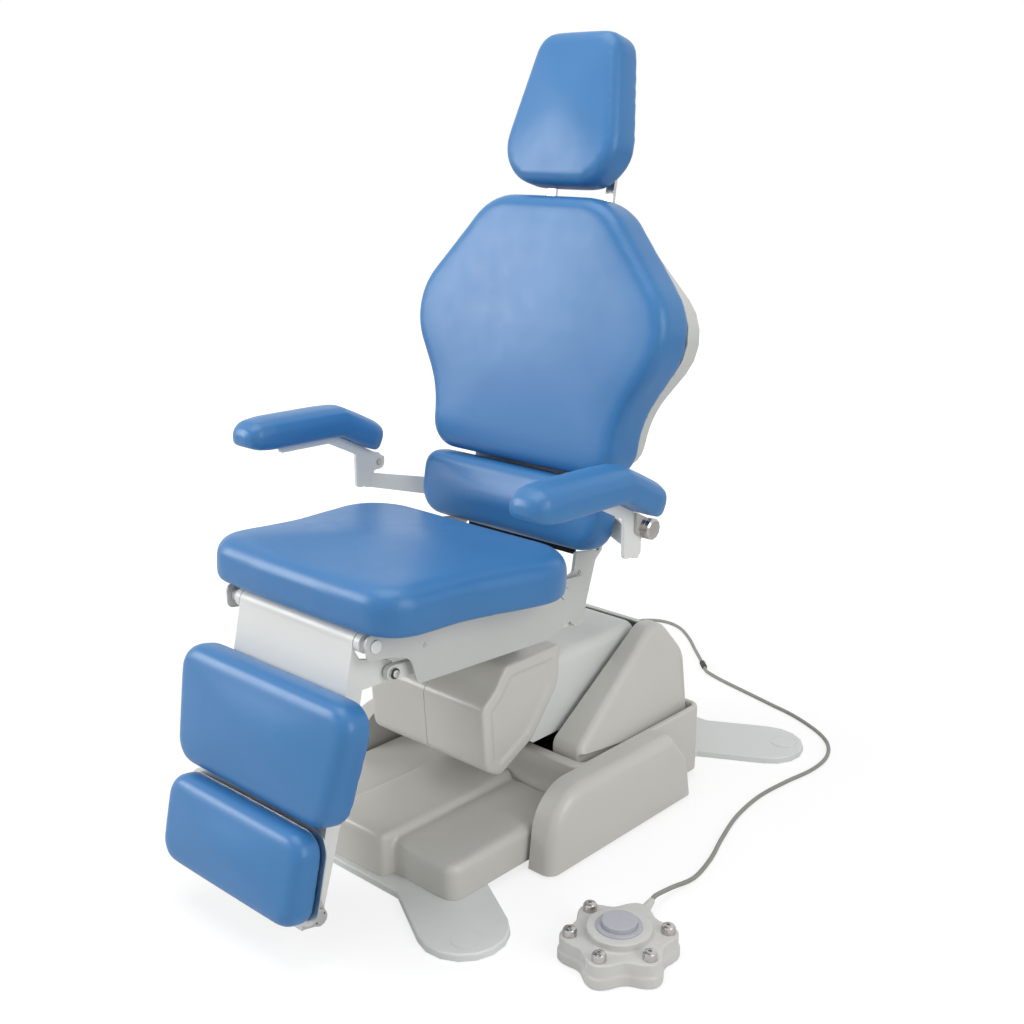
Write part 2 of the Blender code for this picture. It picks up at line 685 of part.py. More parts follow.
def base_tray():
    """Open-topped moulded tray round the lifting gear, with a ledge round its mouth."""
    corners = [(-TRAY_HALF, TRAY_FRONT), (TRAY_HALF, TRAY_FRONT), (TRAY_HALF, TRAY_REAR),
               (-TRAY_HALF, TRAY_REAR)]
    outer = rounded([(u, v, TRAY_CORNER) for u, v in corners])
    inner = inset(outer, TRAY_WALL)
    lip = inset(outer, 0.0015)
    half = TRAY_HALF - TRAY_WALL - TRAY_LEDGE
    front, rear = TRAY_FRONT + TRAY_SHELF, TRAY_REAR - TRAY_WALL - TRAY_LEDGE
    edges = [(-half, front), (half, front), (half, rear), (-half, rear)]
    mouth = rounded([(u, v, TRAY_CORNER) for u, v in edges])
    under = TRAY_RIM - TRAY_RIM_THICK
    rings = [[(u, v, PLATE_TOP) for u, v in outer], [(u, v, TRAY_RIM - 0.0015) for u, v in outer],
             [(u, v, TRAY_RIM) for u, v in lip], [(u, v, TRAY_RIM) for u, v in mouth],
             [(u, v, under) for u, v in mouth], [(u, v, under) for u, v in inner],
             [(u, v, PLATE_TOP) for u, v in inner]]
    return solid("base_tray", rings, COVER_PLASTIC, endless=True)


def side_cover_outline(wall):
    """Side view of the cover: a round nose, a level top and a raked tail."""
    low = SIDE_COVER_LIFT + wall
    top = SIDE_COVER_TOP - wall
    nose = SIDE_COVER_FRONT + wall
    tail = SIDE_COVER_REAR - wall
    return rounded([(nose, low, 0.0), (tail, low, 0.0),
                    (tail - SIDE_TAIL_LEAN, low + SIDE_TAIL_HEIGHT, SIDE_TAIL_LOW_RADIUS),
                    (tail - SIDE_TAIL_SET, top, SIDE_TAIL_TOP_RADIUS),
                    (nose + SIDE_NOSE_SET, top, SIDE_NOSE_RADIUS)], steps=6)


def side_cover(name, side):
    """Moulded cover along one side of the base, open towards the tray."""
    inner = TRAY_HALF + SEAT_GAP
    outer = inner + SIDE_COVER_WIDTH
    outline = side_cover_outline(0.0)
    low = min(v for u, v in outline)

    def eased(distance):
        drawn = inset(outline, distance)
        return [(u, low if old[1] < low + 0.001 else v) for old, (u, v) in zip(outline, drawn)]

    stations = ((inner, outline), (outer - SIDE_EDGE_START, outline),
                (outer - SIDE_EDGE_MIDDLE, eased(SIDE_EDGE_DRAW / 4)), (outer, eased(SIDE_EDGE_DRAW)))
    cover = solid(name, [ring(side * x, loop) for x, loop in stations], COVER_PLASTIC)
    hollow = side_cover_outline(COVER_WALL * 2)
    spans = (inner - SIDE_HOLLOW_SHORT, outer - SIDE_HOLLOW_SHORT)
    tool = solid("hollow_tool", [ring(side * x, hollow) for x in spans], COVER_PLASTIC)
    return cut(cover, tool)


def pivot_cover_outline(wall):
    """Side view of the cover over a lift pivot: a long front slope, a round peak and a steep back."""
    y, z = ARM_PIVOT
    peak = z + PIVOT_COVER_PEAK - wall
    foot = PIVOT_COVER_SKIRT + wall
    tail = TRAY_REAR - PIVOT_COVER_TAIL_SET - wall
    toe = y - PIVOT_COVER_REACH + 2 * wall
    return rounded([(toe, foot, 0.0), (tail, foot, 0.0),
                    (y + PIVOT_COVER_HEEL - wall, z - PIVOT_COVER_HEEL_DROP, PIVOT_COVER_HEEL_RADIUS),
                    (y + PIVOT_COVER_BROW - wall, peak, PIVOT_COVER_BROW_RADIUS),
                    (y + PIVOT_COVER_CROWN + wall, peak, PIVOT_COVER_CROWN_RADIUS),
                    (toe, foot + PIVOT_COVER_STEM, PIVOT_COVER_TOE_RADIUS)])


def pivot_cover(name, side):
    """Tall cover over a lift pivot, its outer face leaning inwards, open towards the arm."""
    inner = BRACKET_OUT + SEAT_GAP
    foot_x = TRAY_HALF - TRAY_LEDGE - PIVOT_COVER_STEP

    def leaning(loop, shy):
        return [(side * (foot_x - shy - (v - PIVOT_COVER_SKIRT) * PIVOT_COVER_LEAN), u, v)
                for u, v in loop]

    outline = pivot_cover_outline(0.0)

    def eased(distance):
        drawn = inset(outline, distance)
        return [(u, PIVOT_COVER_SKIRT if old[1] < PIVOT_COVER_SKIRT + SEAT_GAP else v)
                for old, (u, v) in zip(outline, drawn)]

    rings = [ring(side * inner, outline), leaning(outline, PIVOT_COVER_EDGE),
             leaning(eased(PIVOT_COVER_SHY), PIVOT_COVER_SHY), leaning(eased(PIVOT_COVER_DRAW), 0.0)]
    cover = solid(name, rings, COVER_PLASTIC)
    hollow = pivot_cover_outline(COVER_WALL)
    mouth = ring(side * (inner - PIVOT_COVER_EDGE), hollow)
    tool = solid("hollow_tool", [mouth, leaning(hollow, PIVOT_COVER_BACK)], COVER_PLASTIC)
    return cut(cover, tool)


def pivot_bracket(name, side):
    """Steel cheek that stands on the base plate and carries the lift shaft."""
    y, z = ARM_PIVOT
    outline = rounded([(y - BRACKET_FOOT, PLATE_TOP, 0.0), (y + BRACKET_FOOT, PLATE_TOP, 0.0),
                       (y + BRACKET_CAP, z + BRACKET_CAP, BRACKET_CAP),
                       (y - BRACKET_CAP, z + BRACKET_CAP, BRACKET_CAP)])
    low, high = sorted((side * BRACKET_IN, side * BRACKET_OUT))
    cheek = slab(name, outline, low, high, GREY_PAINT)
    return cut(cheek, bore(ARM_PIVOT, ARM_SHAFT_RADIUS + RUN_GAP, low - 0.01, high + 0.01))


def rear_panel():
    """Folded sheet between the pivot brackets that rises in a slope to a narrow lip behind the arm."""
    top = ARM_PIVOT_Z + ARM_TOP + 0.0005
    lip = top - REAR_PANEL_THICK
    outer = REAR_PANEL_Y + REAR_PANEL_THICK
    outline = [(outer, PLATE_TOP), (outer, REAR_PANEL_BEND), (REAR_PANEL_BROW, top), (REAR_PANEL_LIP, top),
               (REAR_PANEL_LIP, lip), (REAR_PANEL_BROW - REAR_PANEL_THICK / 2, lip),
               (REAR_PANEL_Y, REAR_PANEL_BEND - REAR_PANEL_THICK / 2), (REAR_PANEL_Y, PLATE_TOP)]
    reach = BRACKET_IN - SEAT_GAP
    return slab("rear_panel", outline, -reach, reach, GREY_PAINT)


def centre_bracket():
    """Steel plate in the middle of the base that carries the link's and the actuator's lower pins."""
    y, z = LINK_REAR
    outline = rounded([(ACTUATOR_FOOT_Y - 0.025, PLATE_TOP, 0.0), (y + 0.022, PLATE_TOP, 0.0),
                       (y + 0.018, z + 0.018, 0.012), (y - 0.018, z + 0.018, 0.012),
                       (ACTUATOR_FOOT_Y + 0.022, ACTUATOR_FOOT_Z + 0.020, 0.01),
                       (ACTUATOR_FOOT_Y - 0.018, ACTUATOR_FOOT_Z + 0.018, 0.01)])
    plate = slab("centre_bracket", outline, -CENTRE_BRACKET_HALF, CENTRE_BRACKET_HALF, GREY_PAINT)
    reach = CENTRE_BRACKET_HALF + 0.01
    return cut(plate, bore(LINK_REAR, LINK_PIN_RADIUS + RUN_GAP, -reach, reach),
               bore(ACTUATOR_FOOT, ACTUATOR_PIN_RADIUS + RUN_GAP, -reach, reach))


def control_box():
    """Power supply and control box under the front cover."""
    width, length, height = CONTROL_BOX
    middle = (FRONT_COVER_START + TRAY_FRONT) / 2
    low = (-width / 2, middle - length / 2, PLATE_TOP)
    high = (width / 2, middle + length / 2, PLATE_TOP + height)
    return block("control_box", low, high, BLACK)


# Lifting arm

def lift_arm():
    """Folded steel channel between the base pivot and the seat carrier, open underneath."""
    y, z = ARM_PIVOT
    front = ARM_FRONT[0] - ARM_NOSE
    rear = y + ARM_TAIL
    top = z + ARM_TOP
    low = top - ARM_DEPTH
    chin_y, chin_z = ARM_FRONT[0], ARM_FRONT[1]
    outline = rounded([(chin_y + 0.005, top, 0.010), (front, chin_z + 0.020, 0.010),
                       (front, chin_z - 0.012, 0.008),
                       (chin_y - 0.012, chin_z - 0.040, 0.010),
                       (chin_y + 0.060, low, 0.020), (rear, low, 0.020), (rear, top, 0.003)])
    arm = slab("lift_arm", outline, -ARM_HALF, ARM_HALF, GREY_PAINT, (0.0, y, z), edge=0.002)
    inside = ARM_HALF - ARM_WALL
    roof = top - ARM_WALL
    channel = block("channel_tool", (-inside, front - 0.02, low - 0.02), (inside, rear + 0.02, roof))
    notch = block("notch_tool", (-0.020, front - 0.02, roof - 0.02),
                  (0.020, ARM_FRONT[0] + 0.024, top + 0.02))
    cut(arm, channel, notch)
    ear_x = ACTUATOR_X + ACTUATOR_RADIUS
    hang = rounded([(ACTUATOR_TIP[0] - 0.016, ACTUATOR_TIP[1] - 0.014, 0.012),
                    (ACTUATOR_TIP[0] + 0.016, ACTUATOR_TIP[1] - 0.014, 0.012),
                    (ACTUATOR_TIP[0] + 0.016, roof + 0.002, 0.0),
                    (ACTUATOR_TIP[0] - 0.016, roof + 0.002, 0.0)])
    ear = slab("ear_tool", hang, ear_x, ear_x + 0.008, GREY_PAINT)
    pin = bore(ACTUATOR_TIP, ACTUATOR_PIN_RADIUS, ACTUATOR_X - 0.012, ear_x + 0.004, SMALL_ROUND)
    join(arm, join(ear, pin))
    reach = ARM_HALF + 0.02
    for centre in (ARM_PIVOT, ARM_FRONT):
        cut(arm, bore(centre, ARM_SHAFT_RADIUS + RUN_GAP, -reach, reach))
    return arm


def level_link():
    """Parallel bar that keeps the seat level, with a pin at each end."""
    inner = -CENTRE_BRACKET_HALF - SLIDE_GAP
    bar = slab("level_link", stadium(LINK_FRONT, LINK_REAR, LINK_RADIUS), inner - LINK_THICK, inner,
               STEEL, (0.0, *LINK_REAR))
    pins = [bore(end, LINK_PIN_RADIUS, inner - LINK_THICK / 2,
                 CENTRE_BRACKET_HALF) for end in (LINK_REAR, LINK_FRONT)]
    return join(bar, *pins)


def actuator_heading():
    tip = Vector((0.0, *ACTUATOR_TIP)) - Vector((0.0, *ACTUATOR_FOOT))
    return tip.normalized(), tip.length


def lift_actuator_body():
    """Linear actuator: a tube with a blind bore, its gear head, its motor and its lower pin."""
    heading, length = actuator_heading()
    start = (ACTUATOR_X, *ACTUATOR_FOOT)
    hole = ACTUATOR_ROD_RADIUS + RUN_GAP
    profile = [(-0.016, ACTUATOR_RADIUS), (ACTUATOR_TUBE, ACTUATOR_RADIUS), (ACTUATOR_TUBE, hole),
               (ACTUATOR_ROD_START - 0.004, hole)]
    body = along("lift_actuator_body", start, heading, profile, BLACK, start)
    side = (ACTUATOR_X + MOTOR_OFFSET, *ACTUATOR_FOOT)
    motor = along("motor_tool", side, heading, [(-0.012, MOTOR_RADIUS), (MOTOR_LENGTH, MOTOR_RADIUS)],
                  BLACK)
    bridge = along("bridge_tool", (ACTUATOR_X + ACTUATOR_RADIUS * 0.6, *ACTUATOR_FOOT), (1, 0, 0),
                   [(0.0, 0.010), (MOTOR_OFFSET - ACTUATOR_RADIUS * 0.6, 0.010)], BLACK)
    pin = bore(ACTUATOR_FOOT, ACTUATOR_PIN_RADIUS, -CENTRE_BRACKET_HALF,
               ACTUATOR_X - ACTUATOR_RADIUS * 0.6)
    return join(body, join(motor, bridge), pin)


def lift_actuator_rod():
    """Push rod with an eye round the arm's pin; the eye has play because this pivot is left open."""
    heading, length = actuator_heading()
    start = (ACTUATOR_X, *ACTUATOR_FOOT)
    inner = ACTUATOR_PIN_RADIUS + ACTUATOR_EYE_PLAY
    outer = inner + ACTUATOR_EYE_WALL
    rod = along("lift_actuator_rod", start, heading,
                [(ACTUATOR_ROD_START, ACTUATOR_ROD_RADIUS),
                 (length - inner - 0.002, ACTUATOR_ROD_RADIUS)], STEEL, start)
    eye = bore(ACTUATOR_TIP, outer, ACTUATOR_X - 0.008, ACTUATOR_X + 0.008)
    join(rod, eye)
    return cut(rod, bore(ACTUATOR_TIP, inner, ACTUATOR_X - 0.03, ACTUATOR_X + 0.03))


# Seat

def seat_carrier():
    """Welded steel bracket that hangs the seat on the arm and on the level link."""
    outer = CARRIER_OUT
    inner = outer - CARRIER_THICK
    shelf_front = CARRIER_SHELF_FRONT + CARRIER_SHELF_SET
    ceiling = [seat_base(y) - SEAT_GAP * 2 - FRAME_SHEET for y in (shelf_front, CARRIER_REAR)]
    cheek = rounded([(CARRIER_FRONT, CARRIER_BOTTOM + 0.03, 0.02),
                     (ARM_FRONT[0] + 0.03, CARRIER_BOTTOM + 0.03, 0.02),
                     (CARRIER_REAR, CARRIER_SHELF_TOP - 0.030, 0.01),
                     (CARRIER_REAR, CARRIER_SHELF_TOP, 0.0),
                     (shelf_front, CARRIER_SHELF_TOP, 0.0),
                     (CARRIER_FRONT, ARM_COVER_EAVE - CARRIER_SHELF_SET, 0.0)])
    carrier = slab("seat_carrier", cheek, -outer, outer, GREY_PAINT, (0.0, *ARM_FRONT))
    neck = [(shelf_front, CARRIER_SHELF_LOW + 0.001), (CARRIER_REAR, CARRIER_SHELF_LOW + 0.001),
            (CARRIER_REAR, ceiling[1]), (shelf_front, ceiling[0])]
    join(carrier, slab("neck_tool", neck, -CARRIER_NECK_HALF, CARRIER_NECK_HALF, GREY_PAINT))
    start, end = CARRIER_FRONT - 0.02, CARRIER_REAR + 0.02
    below = [(start, CARRIER_BOTTOM - 0.02), (end, CARRIER_BOTTOM - 0.02), (end, CARRIER_SHELF_LOW),
             (start, CARRIER_SHELF_LOW)]
    cut(carrier, slab("hollow_tool", below, -inner, inner, GREY_PAINT))
    inside = CARRIER_NECK_HALF - CARRIER_THICK
    within = [(start, CARRIER_BOTTOM), (end, CARRIER_BOTTOM), (end, ceiling[1] - CARRIER_THICK),
              (start, ceiling[0] - CARRIER_THICK)]
    cut(carrier, slab("neck_hollow_tool", within, -inside, inside, GREY_PAINT))
    y, z = LINK_FRONT
    hang = rounded([(y - 0.016, z - 0.016, 0.012), (y + 0.016, z - 0.016, 0.012),
                    (y + 0.016, ceiling[1] - 0.001, 0.0), (shelf_front, ceiling[1] - 0.001, 0.0),
                    (shelf_front, CARRIER_SHELF_LOW - 0.020, 0.0), (y - 0.016, z + 0.016, 0.0)])
    join(carrier, slab("ear_tool", hang, -CENTRE_BRACKET_HALF, CENTRE_BRACKET_HALF, GREY_PAINT))
    reach = outer + 0.02
    cut(carrier, bore(ARM_FRONT, ARM_SHAFT_RADIUS + RUN_GAP, -reach, reach))
    return cut(carrier, bore(LINK_FRONT, LINK_PIN_RADIUS + RUN_GAP, -0.02, 0.02))


def arm_cover_outline(wall):
    """Side view of the cover over the arm's front joint."""
    front = ARM_COVER_FRONT + wall
    middle = ARM_FRONT[0]
    return rounded([(front, ARM_COVER_BROW, ARM_COVER_ROUND),
                    (front + ARM_COVER_CHIN_SET, ARM_COVER_TIP + ARM_COVER_CHIN_RISE + wall,
                     ARM_COVER_ROUND),
                    (middle - ARM_COVER_CHIN_FORE, ARM_COVER_TIP + wall, ARM_COVER_CHIN_ROUND),
                    (middle + ARM_COVER_KEEL[0], ARM_COVER_KEEL[1], ARM_COVER_KEEL_ROUND),
                    (middle + ARM_COVER_HEEL[0], ARM_COVER_HEEL[1], ARM_COVER_KEEL_ROUND),
                    (ARM_COVER_REAR, ARM_COVER_TOP, ARM_COVER_REAR_ROUND),
                    (middle - ARM_COVER_BACK, ARM_COVER_TOP, ARM_COVER_TOP_ROUND),
                    (middle - ARM_COVER_SHOULDER[0], ARM_COVER_SHOULDER[1], ARM_COVER_TOP_ROUND)])


def arm_front_cover(name, side):
    """Half of the moulded cover over the arm's front joint, split on the centre line, open behind."""
    outline = arm_cover_outline(0.0)
    rings = [ring(side * SEAT_GAP, outline), ring(side * (ARM_COVER_OUT - ARM_COVER_EDGE), outline),
             ring(side * ARM_COVER_OUT, inset(outline, ARM_COVER_DRAW))]
    half = solid(name, rings, COVER_PLASTIC, (0.0, *ARM_FRONT))
    chin = inset(outline, COVER_WALL)[:3 * (CORNER_STEPS + 1)]
    below, above = ARM_COVER_TIP - ARM_COVER_MOUTH, ARM_COVER_TOP + ARM_COVER_MOUTH
    behind = ARM_COVER_REAR + ARM_COVER_MOUTH
    lip = CARRIER_FRONT - SEAT_GAP
    roof = CARRIER_SHELF_TOP + SEAT_GAP
    hollow = chin + [(chin[-1][0], below), (behind, below), (behind, roof), (CARRIER_SHELF_FRONT, roof),
                     (lip, ARM_COVER_EAVE)]
    low, high = sorted((-side * ARM_COVER_MOUTH, side * ARM_COVER_IN))
    cut(half, slab("hollow_tool", hollow, low, high, COVER_PLASTIC))
    slot = [(CARRIER_SHELF_FRONT, ARM_COVER_EAVE), (behind, ARM_COVER_EAVE), (behind, above),
            (CARRIER_SHELF_FRONT, above)]
    low, high = sorted((-side * ARM_COVER_MOUTH, side * (CARRIER_NECK_HALF + SEAT_GAP)))
    return cut(half, slab("slot_tool", slot, low, high, COVER_PLASTIC))


def cross_shaft(name, centre, radius, reach, finish=STEEL):
    """A plain round shaft along X."""
    return turned(name, [(-reach, radius), (reach, radius)], centre, finish, (0.0, *centre))


def seat_frame():
    """Folded sheet frame under the seat: a top plate and two deep cheeks."""
    top = [seat_base(y) - SEAT_GAP for y in (FRAME_FRONT, FRAME_REAR)]
    cheek = rounded([(FRAME_FRONT, top[0], 0.008), (FRAME_FRONT, LEG_HINGE_Z - 0.018, 0.01),
                     (FRAME_FRONT + FRAME_HORN_SET, LEG_HINGE_Z - 0.024, 0.02),
                     (FRAME_FRONT + FRAME_NOTCH_SET, LEG_HINGE_Z - 0.036, 0.02),
                     (FRAME_FRONT + FRAME_CHEEK_SET, FRAME_LOW_FRONT, 0.008),
                     (FRAME_REAR - FRAME_TAIL_SET, FRAME_LOW_REAR, 0.040),
                     (FRAME_REAR - 0.004, BACK_HINGE_Z - FRAME_TAIL_DROP, 0.020),
                     (FRAME_REAR, top[1], 0.012)])
    frame = slab("seat_frame", cheek, -FRAME_HALF, FRAME_HALF, WHITE_PAINT)
    inner = FRAME_HALF - FRAME_SHEET
    floor, sky = FRAME_LOW_REAR - 0.1, top[0] + 0.1
    start, end = FRAME_FRONT - 0.02, FRAME_REAR + 0.02
    roof = [(y, seat_base(y) - SEAT_GAP - FRAME_SHEET) for y in (FRAME_TOP_REAR, FRAME_TOP_FRONT)]
    inside = [(start, floor), (end, floor), (end, sky), (FRAME_TOP_REAR, sky), *roof,
              (FRAME_TOP_FRONT, sky), (start, sky)]
    cut(frame, slab("inside_tool", inside, -inner, inner, WHITE_PAINT))
    reach = FRAME_HALF + 0.02
    cut(frame, bore(LEG_HINGE, LEG_TUBE_RADIUS + RUN_GAP, -reach, reach))
    return cut(frame, bore(BACK_HINGE, BACK_SHAFT_RADIUS + RUN_GAP, -reach, reach))


def seat_cushion():
    """Waisted seat cushion, wider at the rear, sloping a little to the back."""
    front = SEAT_CUSHION_LENGTH
    right = [(SEAT_REAR_HALF, 0.0, 0.085), (SEAT_WAIST_HALF, 0.225, 0.20),
             (SEAT_FRONT_HALF, front - 0.006, 0.055), (0.06, front, 0.0)]
    outline = rounded(right + [(-u, v, r) for u, v, r in reversed(right)], steps=5)
    slope = math.radians(SEAT_SLOPE)

    def place(u, v, w):
        y = SEAT_CUSHION_REAR - v * math.cos(slope) + w * math.sin(slope)
        z = seat_base(SEAT_CUSHION_REAR) + v * math.sin(slope) + w * math.cos(slope)
        return (u, y, z + SEAT_GAP)

    return cushion("seat_cushion", outline, SEAT_CUSHION_THICK, place, (0.0, 0.0, 0.0), crown=0.012,
                   tuck=0.012)


# Legrest

def legrest_hinge_tube():
    """Front tube of the seat with a white collar at each end of the legrest's hem."""
    near = LEG_PLATE_HALF + SLIDE_GAP * 2
    far = near + LEG_COLLAR_WIDTH
    end = FRAME_HALF + 0.002
    half = [(near, LEG_TUBE_RADIUS), (near, LEG_HEM_RADIUS), (far, LEG_HEM_RADIUS), (far, LEG_TUBE_RADIUS),
            (end, LEG_TUBE_RADIUS)]
    profile = [(-x, r) for x, r in reversed(half)] + half
    return turned("legrest_hinge_tube", profile, LEG_HINGE, WHITE_PAINT, (0.0, *LEG_HINGE))


def legrest_plate():
    """Folded sheet of the legrest: a rolled hem on the tube, a flat face, two flanges and a lug."""
    half = LEG_PLATE_HALF
    outer = circle(LEG_HINGE, LEG_HEM_RADIUS)
    inner = circle(LEG_HINGE, LEG_TUBE_RADIUS + RUN_GAP)
    hem = [ring(-half, outer), ring(half, outer), ring(half, inner), ring(-half, inner)]
    plate = solid("legrest_plate", hem, WHITE_PAINT, (0.0, *LEG_HINGE), endless=True)
    face = LEG_HEM_RADIUS - 0.001
    sheet = [leg(u, n) for u, n in ((0.002, face), (LEG_PLATE_LENGTH, face),
                                    (LEG_PLATE_LENGTH, face - LEG_SHEET),
                                    (0.002, face - LEG_SHEET))]
    join(plate, slab("sheet_tool", sheet, -half + 0.0002, half - 0.0002, WHITE_PAINT))
    end = LEG_PLATE_LENGTH - 0.0004
    deep = face - LEG_FLANGE_DEPTH
    rim = [(0.008, face - 0.001, 0.0), (0.040, deep, 0.01), (0.200, deep, 0.0),
           (end - 0.012, FOOT_PIVOT_N - 0.014, 0.010), (end, FOOT_PIVOT_N, 0.006),
           (end, face - 0.001, 0.0)]
    lever = math.radians(LEG_TILT)
    lug_u = LEVER_DROP * math.cos(lever) - LEVER_BACK * math.sin(lever)
    lug_n = -LEVER_DROP * math.sin(lever) - LEVER_BACK * math.cos(lever)
    lug = [(lug_u - 0.020, face - 0.006, 0.0), (lug_u - 0.014, lug_n - 0.012, 0.012),
           (lug_u + 0.014, lug_n - 0.012, 0.012), (lug_u + 0.030, face - 0.006, 0.0)]
    for side in (-1, 1):
        low, high = sorted((side * (half - LEG_SHEET), side * (half - 0.0004)))
        join(plate, slab("flange_tool", [leg(u, n) for u, n in rounded(rim)], low, high, WHITE_PAINT))
    low, high = half - 0.006, half - 0.0008
    join(plate, slab("lug_tool", [leg(u, n) for u, n in rounded(lug)], low, high, WHITE_PAINT))
    cut(plate, bore(ROD_FRONT, ROD_PIN_RADIUS + RUN_GAP, half - 0.02, half + 0.02, SMALL_ROUND))
    reach = half + 0.02
    return cut(plate, bore(leg(FOOT_PIVOT_U, FOOT_PIVOT_N), FOOT_PIN_RADIUS + RUN_GAP, -reach, reach,
                           SMALL_ROUND))


def pad_on(name, frame, start, length, half, thickness, base, pivot, low_half=None):
    """A rounded rectangular pad lying on a tilted face."""
    foot = half if low_half is None else low_half
    corners = [(-half, start, 0.040), (half, start, 0.040), (foot, start + length, 0.040),
               (-foot, start + length, 0.040)]
    outline = rounded(corners, steps=6)
    return cushion(name, outline, thickness, lambda u, v, w: (u, *frame(v, base + w)), pivot,
                   crown=0.008, tuck=0.009)


def leg_pad():
    base = LEG_HEM_RADIUS - 0.001 + SEAT_GAP
    return pad_on("leg_pad", leg, LEG_PAD_START, LEG_PAD_LENGTH, LEG_PAD_HALF, LEG_PAD_THICK, base,
                  (0.0, *LEG_HINGE), LEG_PAD_HALF - 0.010)


def link_rod():
    """Flat rod that couples the legrest to the backrest's lever."""
    rod = slab("link_rod", stadium(ROD_FRONT, ROD_REAR, ROD_RADIUS), ROD_IN, ROD_OUT, WHITE_PAINT,
               (0.0, *ROD_FRONT), edge=0.001)
    reach = (ROD_IN - 0.02, ROD_OUT + 0.02)
    cut(rod, bore(ROD_FRONT, ROD_PIN_RADIUS + RUN_GAP, *reach, SMALL_ROUND))
    return cut(rod, bore(ROD_REAR, ROD_PIN_RADIUS + RUN_GAP * 2, *reach, SMALL_ROUND))


def link_rod_pin():
    """Socket bolt that joins the rod to the legrest's lug."""
    start = LEG_PLATE_HALF - 0.010
    profile = [(start, ROD_PIN_RADIUS), (ROD_OUT + SEAT_GAP, ROD_PIN_RADIUS),
               (ROD_OUT + SEAT_GAP, ROD_PIN_RADIUS + 0.003),
               (ROD_OUT + 0.004, ROD_PIN_RADIUS + 0.003)]
    return turned("link_rod_pin", profile, ROD_FRONT, STEEL, (0.0, *ROD_FRONT), SMALL_ROUND)


def footrest_bracket():
    """Bent steel sheet behind the foot pad, with an ear at each side of the legrest."""
    pivot = leg(FOOT_PIVOT_U, FOOT_PIVOT_N)
    ear_in = LEG_PLATE_HALF + FOOT_EAR_CLEAR
    high = FOOT_SHEET_N + LEG_SHEET
    sheet = rounded([(FOOT_PAD_START + 0.006, FOOT_SHEET_N, 0.0),
                     (FOOT_PIVOT_U + 0.014, FOOT_SHEET_N, 0.0),
                     (FOOT_PIVOT_U + 0.014, high, 0.0), (FOOT_PAD_START + 0.006, high, 0.0)])
    bracket = slab("footrest_bracket", [leg(u, n) for u, n in sheet], -FOOT_SHEET_HALF, FOOT_SHEET_HALF,
                   STEEL, (0.0, *pivot))
    ear = rounded([(FOOT_PIVOT_U - 0.050, high - 0.001, 0.0),
                   (FOOT_PIVOT_U - 0.046, FOOT_PIVOT_N + 0.012, 0.006),
                   (FOOT_PIVOT_U - 0.004, FOOT_PIVOT_N - 0.013, 0.012),
                   (FOOT_PIVOT_U + 0.0135, FOOT_PIVOT_N - 0.010, 0.012),
                   (FOOT_PIVOT_U + 0.0135, high - 0.001, 0.0)])
    for side in (-1, 1):
        low, top = sorted((side * ear_in, side * (FOOT_SHEET_HALF - 0.0004)))
        join(bracket, slab("ear_tool", [leg(u, n) for u, n in ear], low, top, STEEL))
    reach = FOOT_SHEET_HALF + 0.02
    return cut(bracket, bore(pivot, FOOT_PIN_RADIUS + RUN_GAP, -reach, reach, SMALL_ROUND))


def footrest_pivot_cap(name, side):
    """Shouldered pivot bolt with a flat steel disc for a head."""
    pivot = leg(FOOT_PIVOT_U, FOOT_PIVOT_N)
    face = FOOT_SHEET_HALF + SEAT_GAP
    profile = [(LEG_PLATE_HALF - 0.008, FOOT_PIN_RADIUS), (face, FOOT_PIN_RADIUS), (face, FOOT_CAP_RADIUS),
               (face + FOOT_CAP_THICK, FOOT_CAP_RADIUS)]
    return turned(name, [(side * x, r) for x, r in profile], pivot, STEEL, (0.0, *pivot), SMALL_ROUND)


def foot_pad():
    base = FOOT_SHEET_N + LEG_SHEET + SEAT_GAP
    return pad_on("foot_pad", leg, FOOT_PAD_START, FOOT_PAD_LENGTH, FOOT_PAD_HALF, FOOT_PAD_THICK, base,
                  (0.0, *leg(FOOT_PIVOT_U, FOOT_PIVOT_N)), FOOT_PAD_HALF - 0.006)


# Backrest

def back_outline(shrink, top_shrink):
    """Front view of the backrest: widest above the middle, narrow at the foot and at the top."""
    top = BACK_CUSHION_HEIGHT
    right = [(BACK_FOOT_HALF - shrink, shrink, 0.045), (BACK_FOOT_HALF + 0.014 - shrink, BACK_WAIST, 0.14),
             (BACK_SHOULDER - shrink, BACK_WIDEST, 0.088),
             (BACK_TOP_HALF + 0.050 - top_shrink, top - 0.052, 0.10),
             (BACK_TOP_HALF - top_shrink, top - top_shrink, 0.045)]
    return rounded(right + [(-u, v, r) for u, v, r in reversed(right)], steps=5)


